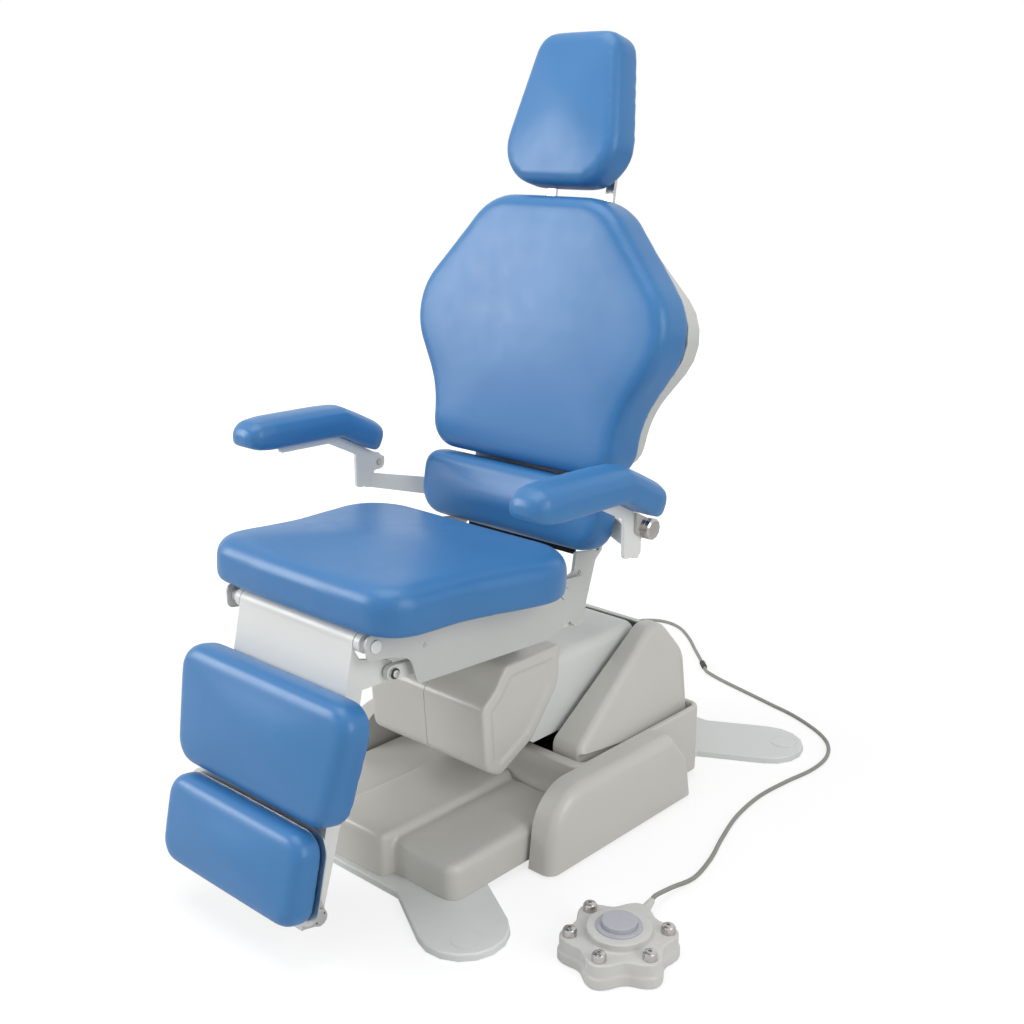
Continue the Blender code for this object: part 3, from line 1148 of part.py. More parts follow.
def backrest_frame():
    """Welded steel frame: back plate, lumbar spacers and two hinge ears, one with the lever pin."""
    rear = -BACK_CUSHION_THICK - BACK_PLATE_THICK - SEAT_GAP
    front = rear + BACK_PLATE_THICK
    sheet = [back(s, n) for s, n in ((BACK_PLATE_BOTTOM, rear), (BACK_PLATE_TOP, rear),
                                     (BACK_PLATE_TOP, front),
                                     (BACK_PLATE_BOTTOM, front))]
    frame = slab("backrest_frame", sheet, -EAR_OUT, EAR_OUT, WHITE_PAINT, (0.0, *BACK_HINGE))
    slant = math.radians(BACK_TILT)

    def local(point):
        dy, dz = point[0] - BACK_FOOT_Y, point[1] - BACK_FOOT_Z
        return (dy * math.sin(slant) + dz * math.cos(slant), -dy * math.cos(slant) + dz * math.sin(slant))

    hinge = local(BACK_HINGE)
    lever = local(ROD_REAR)
    lumbar_low = -LUMBAR_GAP - LUMBAR_HEIGHT
    ear = rounded([(-0.040, rear + 0.001, 0.0), (-0.040, front - 0.001, 0.0),
                   (lumbar_low - 0.004, front - 0.001, 0.0),
                   (lumbar_low - 0.004, BACK_EAR_FRONT, 0.003),
                   (lumbar_low - 0.038, BACK_EAR_FRONT, 0.008),
                   (hinge[0] + 0.017, hinge[1] + 0.016, 0.010),
                   (hinge[0] - 0.016, hinge[1] + 0.018, 0.012),
                   (lever[0] - 0.012, lever[1] + 0.008, 0.010),
                   (lever[0] - 0.006, lever[1] - 0.012, 0.010),
                   (lever[0] + 0.024, lever[1] - 0.010, 0.030),
                   (lumbar_low - 0.021, BACK_EAR_REAR, 0.040),
                   (BACK_PLATE_BOTTOM - 0.002, rear + 0.001, 0.006)])
    for side in (-1, 1):
        low, high = sorted((side * EAR_IN, side * (EAR_OUT - 0.0004)))
        join(frame, slab("ear_tool", [back(s, n) for s, n in ear], low, high, WHITE_PAINT))
        spacer = [back(s, n) for s, n in ((-0.092, front - 0.002), (-0.026, front - 0.002),
                                          (-0.026, LUMBAR_FRONT - LUMBAR_THICK - SEAT_GAP),
                                          (-0.092, LUMBAR_FRONT - LUMBAR_THICK - SEAT_GAP))]
        low, high = sorted((side * 0.050, side * 0.090))
        join(frame, slab("spacer_tool", spacer, low, high, WHITE_PAINT))
    join(frame, bore(ROD_REAR, ROD_PIN_RADIUS - RUN_GAP, ROD_IN - 0.001, EAR_IN + 0.003, SMALL_ROUND))
    reach = EAR_OUT + 0.02
    return cut(frame, bore(BACK_HINGE, BACK_SHAFT_RADIUS + RUN_GAP, -reach, reach))


def back_cushion():
    outline = back_outline(0.0, 0.0)
    return cushion("back_cushion", outline, BACK_CUSHION_THICK, lambda u, v,
                   w: (u, *back(v, w - BACK_CUSHION_THICK)),
                   (0.0, *BACK_HINGE), crown=0.010, tuck=0.012)


def back_shell():
    """Moulded rear shell, open towards the cushion, with slots for the posts and the back plate."""
    front = -BACK_CUSHION_THICK - SEAT_GAP
    rear = front - SHELL_DEPTH
    outline = back_outline(SHELL_INSET, SHELL_TOP_INSET)
    small = inset(outline, 0.014)
    middle = inset(outline, 0.004)
    layers = ((front, outline), (rear + 0.014, outline), (rear + 0.004, middle), (rear, small))
    shell = solid("back_shell", [[(u, *back(v, n)) for u, v in loop] for n, loop in layers],
                  WHITE_PAINT, (0.0, *BACK_HINGE))
    inner = inset(outline, SHELL_WALL)
    tight = inset(outline, SHELL_WALL + 0.010)
    hollow = ((front + 0.02, inner), (rear + 0.014, inner), (rear + SHELL_WALL, tight))
    cut(shell, solid("hollow_tool", [[(u, *back(v, n)) for u, v in loop] for n, loop in hollow],
                     WHITE_PAINT))
    slot = [back(s, n) for s, n in ((-0.03, front + 0.02), (0.05, front + 0.02),
                                    (0.05, front - BACK_PLATE_THICK - 0.001),
                                    (-0.03, front - BACK_PLATE_THICK - 0.001))]
    cut(shell, slab("slot_tool", slot, -EAR_OUT - 0.001, EAR_OUT + 0.001, WHITE_PAINT))
    for side in (-1, 1):
        post = post_outline(0.30, 0.50, SLIDE_GAP * 2)
        low, high = sorted((side * (POST_X - POST_WIDTH / 2 - SLIDE_GAP * 2),
                            side * (POST_X + POST_WIDTH / 2 + SLIDE_GAP * 2)))
        cut(shell, slab("post_tool", post, low, high, WHITE_PAINT))
    return shell


def lumbar_cushion():
    low = -LUMBAR_GAP - LUMBAR_HEIGHT
    corners = [(-LUMBAR_HALF, low, 0.050), (LUMBAR_HALF, low, 0.050), (LUMBAR_HALF, -LUMBAR_GAP, 0.030),
               (-LUMBAR_HALF, -LUMBAR_GAP, 0.030)]
    base = LUMBAR_FRONT - LUMBAR_THICK
    return cushion("lumbar_cushion", rounded(corners, steps=6), LUMBAR_THICK, lambda u, v,
                   w: (u, *back(v, base + w)),
                   (0.0, *BACK_HINGE), crown=0.014, tuck=0.010)


# Headrest

def post_outline(low, high, play):
    """Side view of a headrest post, grown by a play."""
    near = -POST_BACK + POST_THICK / 2 + play
    far = -POST_BACK - POST_THICK / 2 - play
    return [back(s, n) for s, n in ((low, far), (high, far), (high, near), (low, near))]


def headrest_guide():
    """Block behind the back plate in which the two posts slide."""
    front = -BACK_CUSHION_THICK - BACK_PLATE_THICK - 2 * SEAT_GAP
    rear = -POST_BACK - POST_THICK / 2 - GUIDE_WALL
    top = GUIDE_BOTTOM + GUIDE_HEIGHT
    outline = [back(s, n) for s, n in ((GUIDE_BOTTOM, rear), (top, rear), (top, front),
                                       (GUIDE_BOTTOM, front))]
    guide = slab("headrest_guide", outline, -GUIDE_HALF, GUIDE_HALF, BLACK)
    for side in (-1, 1):
        low, high = sorted((side * (POST_X - POST_WIDTH / 2 - SLIDE_GAP),
                            side * (POST_X + POST_WIDTH / 2 + SLIDE_GAP)))
        cut(guide, slab("post_tool", post_outline(GUIDE_BOTTOM - 0.02, top + 0.02, SLIDE_GAP), low,
                        high, BLACK))
    return guide


def headrest_stem():
    """Two flat posts joined by the round bar that the headrest tilts on."""
    outer = POST_X + POST_WIDTH / 2
    stem = bore(HEAD_HINGE, CROSSBAR_RADIUS, -outer + 0.0004, outer - 0.0004)
    stem.name = "headrest_stem"
    stem.data.materials[0] = GREY_PAINT
    for side in (-1, 1):
        low, high = sorted((side * (POST_X - POST_WIDTH / 2), side * outer))
        join(stem, slab("post_tool", post_outline(POST_BOTTOM, POST_TOP + 0.001, 0.0), low, high,
                        GREY_PAINT))
    return stem


def headrest_plate():
    """Steel plate behind the headrest pad, with a knuckle round the stem's bar."""
    outer = CROSSBAR_RADIUS + RUN_GAP + KNUCKLE_WALL
    plate = bore(HEAD_HINGE, outer, -KNUCKLE_HALF, KNUCKLE_HALF)
    plate.name = "headrest_plate"
    plate.data.materials[0] = GREY_PAINT
    web = [head(s, n) for s, n in ((-0.006, 0.004), (-0.006, HEAD_STANDOFF + 0.001),
                                   (0.006, HEAD_STANDOFF + 0.001), (0.006, 0.004))]
    join(plate, slab("web_tool", web, -KNUCKLE_HALF + 0.001, KNUCKLE_HALF - 0.001, GREY_PAINT))
    sheet = [head(s, n) for s, n in ((-0.020, HEAD_STANDOFF), (HEAD_PLATE_RISE, HEAD_STANDOFF),
                                     (HEAD_PLATE_RISE, HEAD_STANDOFF + HEAD_PLATE_THICK),
                                     (-0.020, HEAD_STANDOFF + HEAD_PLATE_THICK))]
    join(plate, slab("sheet_tool", sheet, -HEAD_PLATE_HALF, HEAD_PLATE_HALF, GREY_PAINT))
    reach = KNUCKLE_HALF + 0.03
    return cut(plate, bore(HEAD_HINGE, CROSSBAR_RADIUS + RUN_GAP, -reach, reach))


def headrest_pad():
    """Trapezoid pad, wider at the bottom."""
    low = -HEAD_PAD_BELOW
    top = low + HEAD_PAD_HEIGHT
    right = [(0.055, low, 0.0), (HEAD_LOW_HALF, low + 0.030, 0.040), (HEAD_TOP_HALF, top, 0.035)]
    outline = rounded(right + [(-u, v, r) for u, v, r in reversed(right)], steps=5)
    base = HEAD_STANDOFF + HEAD_PLATE_THICK + SEAT_GAP
    return cushion("headrest_pad", outline, HEAD_PAD_THICK, lambda u, v, w: (u, *head(v, base + w)),
                   (0.0, *HEAD_HINGE),
                   crown=0.008, tuck=0.010)


# Armrests

def armrest_under(y):
    """Height of an armrest pad's underside at one y."""
    end = ARMREST_HEEL if y > ARMREST_BEND[0] else ARMREST_TIP
    fall = (end[1] - ARMREST_BEND[1]) / (end[0] - ARMREST_BEND[0])
    return ARMREST_BEND[1] + (y - ARMREST_BEND[0]) * fall


def armrest_bracket(name, side):
    """Cut and bent plate: a rest under the pad, an ear for its pivot, a tail and a bar to the back."""
    y, z = ARMREST_PIVOT
    tip, bend = ARMREST_TIP, ARMREST_BEND
    front = tip[0] + 0.052
    rear = y + ARMREST_EAR_RADIUS
    outline = rounded([(front, armrest_under(front) - SEAT_GAP, 0.004), (bend[0], bend[1] - SEAT_GAP, 0.0),
                       (rear, armrest_under(rear) - SEAT_GAP, 0.003),
                       (rear, z - ARMREST_EAR_RADIUS, ARMREST_EAR_RADIUS * 0.9),
                       (ARM_TAIL_REAR, z - ARMREST_EAR_RADIUS, 0.003),
                       (ARM_TAIL_REAR, ARM_TAIL_LOW, 0.004),
                       (ARM_TAIL_FRONT, ARM_TAIL_LOW, 0.008),
                       (ARM_TAIL_FRONT, armrest_under(ARM_TAIL_FRONT) - 0.019, 0.003),
                       (bend[0] - 0.016, bend[1] - 0.012, 0.008), (front - 0.002, tip[1] - 0.013, 0.008)])
    low, high = sorted((side * (ARMREST_BRACKET_X - ARMREST_PLATE / 2),
                        side * (ARMREST_BRACKET_X + ARMREST_PLATE / 2)))
    bracket = slab(name, outline, low, high, WHITE_PAINT, (0.0, *ARMREST_PIVOT))
    half = ARMREST_PLATE / 2
    behind = -BACK_CUSHION_THICK - BACK_PLATE_THICK - 2 * SEAT_GAP - half
    start = ((BACK_FOOT_Y - (ARM_TAIL_FRONT + ARM_TAIL_REAR) / 2) * math.cos(math.radians(BACK_TILT))
             - (BACK_FOOT_Z - ARM_BAR_LOW) * math.sin(math.radians(BACK_TILT)))
    route = [(ARMREST_BRACKET_X, start), (ARMREST_BRACKET_X, start - 0.012),
             (LUMBAR_HALF + 0.017, LUMBAR_FRONT - LUMBAR_THICK + 0.004),
             (EAR_OUT + 0.006, behind), (EAR_OUT - 0.035, behind)]
    strip = []
    for index, place in enumerate(route):
        here = Vector(place)
        ahead = (Vector(route[min(index + 1, len(route) - 1)]) - here).normalized()
        behind_way = (here - Vector(route[max(index - 1, 0)])).normalized()
        way = (ahead + behind_way).normalized()
        normal = Vector((-way.y, way.x)) * half / max(0.7, way.dot(ahead if index == 0 else behind_way))
        strip.append((here + normal, here - normal))
    loop = [pair[0] for pair in strip] + [pair[1] for pair in reversed(strip)]
    foot = (ARM_BAR_LOW - BACK_FOOT_Z) / math.cos(math.radians(BACK_TILT))
    rings = []
    for rise in (0.0, 1.0):
        heights = [foot + rise * (ARM_BAR_HEIGHT + (ARMREST_BRACKET_X - p.x) * 0.06) for p in loop]
        rings.append([(side * p.x, *back(height, p.y)) for p, height in zip(loop, heights)])
    join(bracket, solid("bar_tool", rings, WHITE_PAINT))
    return cut(bracket, bore(ARMREST_PIVOT, ARMREST_PIN_RADIUS + RUN_GAP, low - 0.01, high + 0.01,
                             SMALL_ROUND))


def armrest_pad(name, side):
    """Padded arm with a bend: cross-sections along the underside from the tip to the heel."""
    tip, bend, heel = Vector(ARMREST_TIP), Vector(ARMREST_BEND), Vector(ARMREST_HEEL)
    section = [(-0.86, 0.0), (0.86, 0.0), (1.0, 0.16), (1.0, 0.55), (0.86, 0.82), (0.5, 0.97), (0.0, 1.0),
               (-0.5, 0.97), (-0.86, 0.82), (-1.0, 0.55), (-1.0, 0.16)]
    front = (bend - tip).normalized()
    back_way = (heel - bend).normalized()
    stations = [(tip - front * 0.018, front, 0.35, 0.30), (tip - front * 0.013, front, 0.70, 0.62),
                (tip, front, 0.93, 0.90), (tip + front * 0.030, front, 1.0, 1.0),
                (bend - front * 0.030, front, 1.0, 1.0), (bend, (front + back_way).normalized(), 1.0, 1.0),
                (bend + back_way * 0.030, back_way, 1.0, 1.0),
                (heel - back_way * 0.012, back_way, 1.0, 1.0),
                (heel + back_way * 0.006, back_way, 0.90, 0.92),
                (heel + back_way * 0.014, back_way, 0.60, 0.66)]
    rings = []
    for place, heading, wide, tall in stations:
        up = Vector((-heading.y, heading.x))
        loop = []
        for u, v in section:
            height = ARMREST_PAD_THICK * (v * tall + (1.0 - tall) * 0.35)
            point = place + up * height
            loop.append((side * ARMREST_X + u * wide * ARMREST_PAD_HALF, point.x, point.y))
        rings.append(loop)
    return solid(name, rings, UPHOLSTERY, (0.0, *ARMREST_PIVOT), smooth=60)


def armrest_hinge(name, side):
    """Steel lug under the pad with its pivot pin and a chrome disc for a head."""
    y, z = ARMREST_PIVOT
    radius = ARMREST_EAR_RADIUS
    near = ARMREST_BRACKET_X + ARMREST_PLATE / 2 + SLIDE_GAP
    face = near + ARMREST_LUG
    profile = [(near - SLIDE_GAP - ARMREST_PLATE - 0.002, ARMREST_PIN_RADIUS),
               (near + 0.002, ARMREST_PIN_RADIUS),
               (near + 0.002, ARMREST_CAP_RADIUS), (face + ARMREST_CAP_THICK - 0.002, ARMREST_CAP_RADIUS),
               (face + ARMREST_CAP_THICK, ARMREST_CAP_RADIUS - 0.003)]
    hinge = turned(name, [(side * x, r) for x, r in profile], ARMREST_PIVOT, CHROME,
                   (0.0, *ARMREST_PIVOT), SMALL_ROUND)
    front = y - 0.030
    rear = y + radius
    lug = rounded([(front, armrest_under(front) - SEAT_GAP, 0.0), (front, z - radius + 0.012, 0.006),
                   (y - radius, z - radius, 0.008),
                   (rear, z - radius, 0.010), (rear, armrest_under(rear) - SEAT_GAP, 0.0)])
    low, high = sorted((side * near, side * face))
    return join(hinge, slab("lug_tool", lug, low, high, CHROME))


# Foot pedal and cable

def pedal_outline(shrink):
    """Six-lobed outline, one lobe for each button and one for the cable."""
    points = []
    for k in range(72):
        angle = 2 * math.pi * k / 72
        turn = angle - math.radians(PEDAL_TURN)
        radius = PEDAL_RADIUS - shrink + PEDAL_WAVE * math.cos(PEDAL_LOBES * turn)
        points.append((PEDAL_X + radius * math.cos(angle), PEDAL_Y + radius * math.sin(angle)))
    return points


def button_angles():
    """The lobes that carry buttons: all but the one for the cable."""
    step = 360 / PEDAL_LOBES
    return [math.radians(PEDAL_TURN + step * k) for k in (0, 2, 3, 4, 5)]


def cable_way():
    """Unit direction in which the cable leaves the pedal."""
    angle = math.radians(PEDAL_TURN + 360 / PEDAL_LOBES)
    return Vector((math.cos(angle), math.sin(angle), 0.0))


def button_place(angle):
    return (PEDAL_X + BUTTON_CIRCLE * math.cos(angle), PEDAL_Y + BUTTON_CIRCLE * math.sin(angle))


def pedal_housing():
    """Moulded pedal body with a raised ring and a well for each button."""
    layers = ((0.0, 0.0), (CABLE_EXIT_Z + RELIEF_RADIUS, 0.0), (PEDAL_HEIGHT - PEDAL_EDGE, 0.0015),
              (PEDAL_HEIGHT - 0.002, 0.005),
              (PEDAL_HEIGHT, 0.009))
    housing = solid("pedal_housing",
                    [[(x, y, z) for x, y in pedal_outline(shrink)] for z, shrink in layers],
                    PEDAL_PLASTIC, PEDAL_CENTRE)
    middle = (PEDAL_X, PEDAL_Y)
    crest = upright("crest_tool", [(PEDAL_HEIGHT - 0.004, PEDAL_RING_RADIUS),
                                   (PEDAL_RING_HEIGHT - 0.003, PEDAL_RING_RADIUS - 0.002),
                                   (PEDAL_RING_HEIGHT, PEDAL_RING_RADIUS - 0.006)], middle, PEDAL_PLASTIC)
    join(housing, crest)
    cut(housing, upright("disc_tool",
                         [(PEDAL_HEIGHT, PEDAL_DISC_RADIUS + SLIDE_GAP),
                          (PEDAL_RING_HEIGHT + 0.02, PEDAL_DISC_RADIUS + SLIDE_GAP)],
                         middle, PEDAL_PLASTIC))
    for angle in button_angles():
        cut(housing, upright("well_tool",
                             [(BUTTON_WELL, BUTTON_RADIUS + SLIDE_GAP),
                              (PEDAL_HEIGHT + 0.03, BUTTON_RADIUS + SLIDE_GAP)],
                             button_place(angle), PEDAL_PLASTIC, count=SMALL_ROUND))
    return housing


def pedal_disc():
    """Large foot button in the middle of the pedal."""
    low = PEDAL_HEIGHT + 0.005
    profile = [(low, PEDAL_DISC_RADIUS), (PEDAL_DISC_TOP - 0.002, PEDAL_DISC_RADIUS),
               (PEDAL_DISC_TOP, PEDAL_DISC_RADIUS - 0.003)]
    return upright("pedal_disc", profile, (PEDAL_X, PEDAL_Y), DISC_GREY, PEDAL_CENTRE)


def pedal_button(number, angle):
    """Domed metal push-button."""
    place = button_place(angle)
    profile = [(BUTTON_SEAT, BUTTON_RADIUS), (BUTTON_TOP - 0.004, BUTTON_RADIUS),
               (BUTTON_TOP - 0.0015, BUTTON_RADIUS * 0.75),
               (BUTTON_TOP, BUTTON_RADIUS * 0.35)]
    return upright("pedal_button_%d" % number, profile, place, CHROME, (*place, BUTTON_SEAT), SMALL_ROUND)


def relief_start():
    """Where the strain relief leaves the pedal."""
    way = cable_way()
    start = Vector((PEDAL_X, PEDAL_Y, CABLE_EXIT_Z)) + way * (PEDAL_RADIUS + PEDAL_WAVE + SEAT_GAP)
    return start, way


def pedal_strain_relief():
    """Tapered boot where the cable leaves the pedal."""
    start, way = relief_start()
    profile = [(0.0, RELIEF_RADIUS), (0.012, RELIEF_RADIUS * 0.9), (RELIEF_LENGTH, CABLE_RADIUS + 0.0015)]
    return along("pedal_strain_relief", start, way, profile, PEDAL_PLASTIC)


def cable_gland():
    """Screwed gland in the tray's rear wall."""
    start = (GLAND_X, TRAY_REAR + SEAT_GAP, GLAND_Z)
    profile = [(0.0, GLAND_RADIUS), (0.010, GLAND_RADIUS), (0.012, GLAND_RADIUS * 0.8),
               (GLAND_LENGTH, CABLE_RADIUS + 0.002)]
    return along("cable_gland", start, (0, 1, 0), profile, BLACK)


JOINT_PLACE = Vector((-0.056, 0.628, JOINT_RADIUS + SEAT_GAP))
JOINT_WAY = Vector((-0.72, 0.69, 0.0)).normalized()


def cable_joint():
    """Black sleeve that joins the pedal's cable to the chair's lead."""
    start = JOINT_PLACE - JOINT_WAY * JOINT_LENGTH / 2
    profile = [(0.0, JOINT_RADIUS * 0.8), (0.004, JOINT_RADIUS), (JOINT_LENGTH - 0.004, JOINT_RADIUS),
               (JOINT_LENGTH, JOINT_RADIUS * 0.8)]
    return along("cable_joint", start, JOINT_WAY, profile, BLACK)


def cable(name, route):
    """Round cable along a smooth curve through its route points."""
    points = [Vector(point) for point in route]
    ends = [points[0] * 2 - points[1]] + points + [points[-1] * 2 - points[-2]]
    smooth = [points[0]]
    for a, b, c, d in zip(ends, ends[1:], ends[2:], ends[3:]):
        pieces = max(1, round((c - b).length / CABLE_STEP))
        for k in range(1, pieces + 1):
            t = k / pieces
            square = (2 * a - 5 * b + 4 * c - d) * t ** 2
            cube = (3 * b - a - 3 * c + d) * t ** 3
            smooth.append(0.5 * (2 * b + (c - a) * t + square + cube))
    curve = bpy.data.curves.new(name, "CURVE")
    curve.dimensions = "3D"
    curve.bevel_depth = CABLE_RADIUS
    curve.bevel_resolution = CABLE_SIDES
    curve.use_fill_caps = True
    spline = curve.splines.new("POLY")
    spline.points.add(len(smooth) - 1)
    for point, place in zip(spline.points, smooth):
        point.co = (*place, 1.0)
    curve.materials.append(CABLE_GREY)
    piece = bpy.data.objects.new(name, curve)
    bpy.context.collection.objects.link(piece)
    return piece


def cables():
    """Pedal cable and chair lead, lying on the floor round the rear right lobe and behind the chair."""
    start, way = relief_start()
    floor = CABLE_FLOOR
    tip = start + way * (RELIEF_LENGTH + SEAT_GAP)
    near = JOINT_PLACE - JOINT_WAY * (JOINT_LENGTH / 2 + SEAT_GAP)
    far = JOINT_PLACE + JOINT_WAY * (JOINT_LENGTH / 2 + SEAT_GAP)
    pedal_route = [tip, tip + way * 0.014, (0.399, -0.112, 0.0095), (0.403, -0.062, floor),
                   (0.391, 0.000, floor), (0.368, 0.067, floor), (0.347, 0.142, floor),
                   (0.338, 0.223, floor),
                   (0.344, 0.298, floor), (0.354, 0.366, floor), (0.350, 0.424, floor),
                   (0.328, 0.472, floor),
                   (0.288, 0.508, floor), (0.217, 0.541, floor), (0.150, 0.558, floor),
                   (0.085, 0.574, floor),
                   (0.015, 0.591, floor), near - JOINT_WAY * 0.020, near]
    chair_route = [far, far + JOINT_WAY * 0.020, (-0.118, 0.688, floor), (-0.172, 0.739, floor),
                   (-0.225, 0.776, floor),
                   (-0.272, 0.783, floor), (-0.310, 0.759, floor), (-0.326, 0.712, floor),
                   (-0.312, 0.660, floor),
                   (-0.272, 0.613, floor), (-0.218, 0.570, floor), (-0.168, 0.520, floor),
                   (-0.130, 0.468, 0.005),
                   (-0.110, 0.425, 0.013), (-0.102, 0.380, 0.0205), (-0.100, 0.335, 0.031),
                   (GLAND_X, TRAY_REAR + GLAND_LENGTH + 0.016, GLAND_Z),
                   (GLAND_X, TRAY_REAR + GLAND_LENGTH + 2 * SEAT_GAP, GLAND_Z)]
    cable("pedal_cable", pedal_route)
    cable("chair_lead", chair_route)


# Assembly

SIDES = (("left", 1), ("right", -1))

base_plate()
base_front_cover()
base_tray()
rear_panel()
centre_bracket()
control_box()
cross_shaft("lift_pivot_shaft", ARM_PIVOT, ARM_SHAFT_RADIUS, BRACKET_OUT)
lift_arm()
level_link()
lift_actuator_body()
lift_actuator_rod()
seat_carrier()
cross_shaft("arm_front_shaft", ARM_FRONT, ARM_SHAFT_RADIUS, CARRIER_OUT)
seat_frame()
seat_cushion()
cross_shaft("backrest_hinge_shaft", BACK_HINGE, BACK_SHAFT_RADIUS, FRAME_HALF + 0.002)
legrest_hinge_tube()
legrest_plate()
leg_pad()
link_rod()
link_rod_pin()
footrest_bracket()
foot_pad()
backrest_frame()
back_cushion()
back_shell()
lumbar_cushion()
headrest_guide()
headrest_stem()
headrest_plate()
headrest_pad()
for word, sign in SIDES:
    side_cover("side_cover_" + word, sign)
    pivot_cover("pivot_cover_" + word, sign)
    pivot_bracket("pivot_bracket_" + word, sign)
    arm_front_cover("arm_front_cover_" + word, sign)
    footrest_pivot_cap("footrest_pivot_cap_" + word, sign)
    armrest_bracket("armrest_bracket_" + word, sign)
    armrest_pad("armrest_pad_" + word, sign)
    armrest_hinge("armrest_hinge_" + word, sign)
pedal_housing()
pedal_disc()
for index, turn in enumerate(button_angles(), 1):
    pedal_button(index, turn)
pedal_strain_relief()
cable_gland()
cable_joint()
cables()
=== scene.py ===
import math

import bmesh
import bpy
import numpy
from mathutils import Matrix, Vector


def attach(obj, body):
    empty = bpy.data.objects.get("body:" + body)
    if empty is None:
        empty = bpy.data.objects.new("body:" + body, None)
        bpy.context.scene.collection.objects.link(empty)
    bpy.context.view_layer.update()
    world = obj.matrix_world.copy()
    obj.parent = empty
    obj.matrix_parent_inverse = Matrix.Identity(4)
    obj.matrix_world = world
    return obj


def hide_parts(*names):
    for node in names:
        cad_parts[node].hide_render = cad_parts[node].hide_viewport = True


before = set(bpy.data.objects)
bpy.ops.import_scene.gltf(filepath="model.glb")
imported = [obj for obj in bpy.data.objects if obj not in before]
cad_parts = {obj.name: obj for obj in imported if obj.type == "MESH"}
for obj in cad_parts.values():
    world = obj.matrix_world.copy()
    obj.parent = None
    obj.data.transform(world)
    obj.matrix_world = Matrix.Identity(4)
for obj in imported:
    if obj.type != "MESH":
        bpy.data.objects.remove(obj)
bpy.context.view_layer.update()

scene = bpy.context.scene
bpy.ops.object.select_all(action="DESELECT")

# Studio: a pale floor that looks white to the camera and still keeps the chair's soft shadow.
# Big soft lamps stand at the chair's left, over it and before its right side.
# The camera stands where the photograph was taken.
scene.view_settings.view_transform = "Standard"


def add_node(tree, kind, inputs=None, **settings):
    """Adds one shader node. inputs gives a value, or another node's output, for each socket."""
    made = tree.nodes.new(kind)
    for key, value in settings.items():
        setattr(made, key, value)
    for key, value in (inputs or {}).items():
        if isinstance(value, bpy.types.NodeSocket):
            tree.links.new(value, made.inputs[key])
        else:
            made.inputs[key].default_value = value
    return made


def seen_directly(tree, also):
    """1 for rays from the camera and for one more kind."""
    path = add_node(tree, "ShaderNodeLightPath")
    either = add_node(tree, "ShaderNodeMath", {0: path.outputs["Is Camera Ray"], 1: path.outputs[also]},
                      operation="MAXIMUM")
    return either.outputs[0]


world = bpy.data.worlds.new("studio_air")
world.use_nodes = True
scene.world = world
air = world.node_tree
air.nodes.clear()
white = (1.0, 1.0, 1.0, 1.0)
soft_air = add_node(air, "ShaderNodeBackground", {"Color": white, "Strength": 0.42})
white_air = add_node(air, "ShaderNodeBackground", {"Color": white, "Strength": 1.0})
air_mix = add_node(air, "ShaderNodeMixShader",
                   {0: seen_directly(air, "Is Glossy Ray"), 1: soft_air.outputs[0], 2: white_air.outputs[0]})
add_node(air, "ShaderNodeOutputWorld", {"Surface": air_mix.outputs[0]})

bpy.ops.mesh.primitive_plane_add(size=16, location=(0, 0, -0.0006))
bpy.ops.object.transform_apply(location=True, rotation=True, scale=True)
floor = bpy.context.object
floor.name = "studio_floor"
pale = bpy.data.materials.new("pale_floor")
pale.use_nodes = True
ground = pale.node_tree
ground.nodes.clear()
matt_white = add_node(ground, "ShaderNodeBsdfDiffuse", {"Color": (0.80, 0.80, 0.80, 1.0)})
shade_white = add_node(ground, "ShaderNodeBsdfDiffuse", {"Color": (0.30, 0.30, 0.30, 1.0)})
spot = add_node(ground, "ShaderNodeTexCoord")
reach = add_node(ground, "ShaderNodeVectorMath", {0: spot.outputs["Object"]}, operation="LENGTH")
fading = add_node(ground, "ShaderNodeMapRange", {"Value": reach.outputs["Value"], "From Min": 0.7, "From Max": 2.0,
                                                "To Min": 0.74, "To Max": 1.0}, interpolation_type="SMOOTHSTEP")
glow = add_node(ground, "ShaderNodeEmission", {"Color": white, "Strength": fading.outputs["Result"]})
lit_white = add_node(ground, "ShaderNodeAddShader", {0: shade_white.outputs[0], 1: glow.outputs[0]})
floor_mix = add_node(ground, "ShaderNodeMixShader", {0: seen_directly(ground, "Is Transmission Ray"),
                                                     1: matt_white.outputs[0], 2: lit_white.outputs[0]})
add_node(ground, "ShaderNodeOutputMaterial", {"Surface": floor_mix.outputs[0]})
floor.data.materials.append(pale)


def soft_lamp(name, place, aim, size, power):
    """A square studio lamp, turned to the point that it lights."""
    lamp = bpy.data.lights.new(name, "AREA")
    lamp.size = size
    lamp.energy = power
    holder = bpy.data.objects.new(name, lamp)
    holder.location = place
    holder.rotation_euler = (Vector(aim) - Vector(place)).to_track_quat("-Z", "Y").to_euler()
    scene.collection.objects.link(holder)


soft_lamp("side_lamp", (3.0, -0.4, 1.8), (0.0, 0.0, 0.3), 2.0, 40)
soft_lamp("top_lamp", (-0.2, -0.6, 3.4), (0.0, 0.0, 0.5), 2.4, 50)
soft_lamp("front_lamp", (-2.4, -2.4, 1.60), (0.0, 0.0, 0.8), 1.5, 60)

camera = bpy.data.cameras.new("photo_camera")
camera.sensor_width = 36.0
camera.lens = 46.58
stand = bpy.data.objects.new("photo_camera", camera)
stand.location = (1.397, -1.555, 1.102)
stand.rotation_euler = (math.radians(73.66), 0.0, math.radians(42.5))
scene.collection.objects.link(stand)
scene.camera = stand

# Base plate: one thick steel plate with four lobes, in light grey powder paint.
# The paint has a fine orange peel. Its edges are ground round before painting.


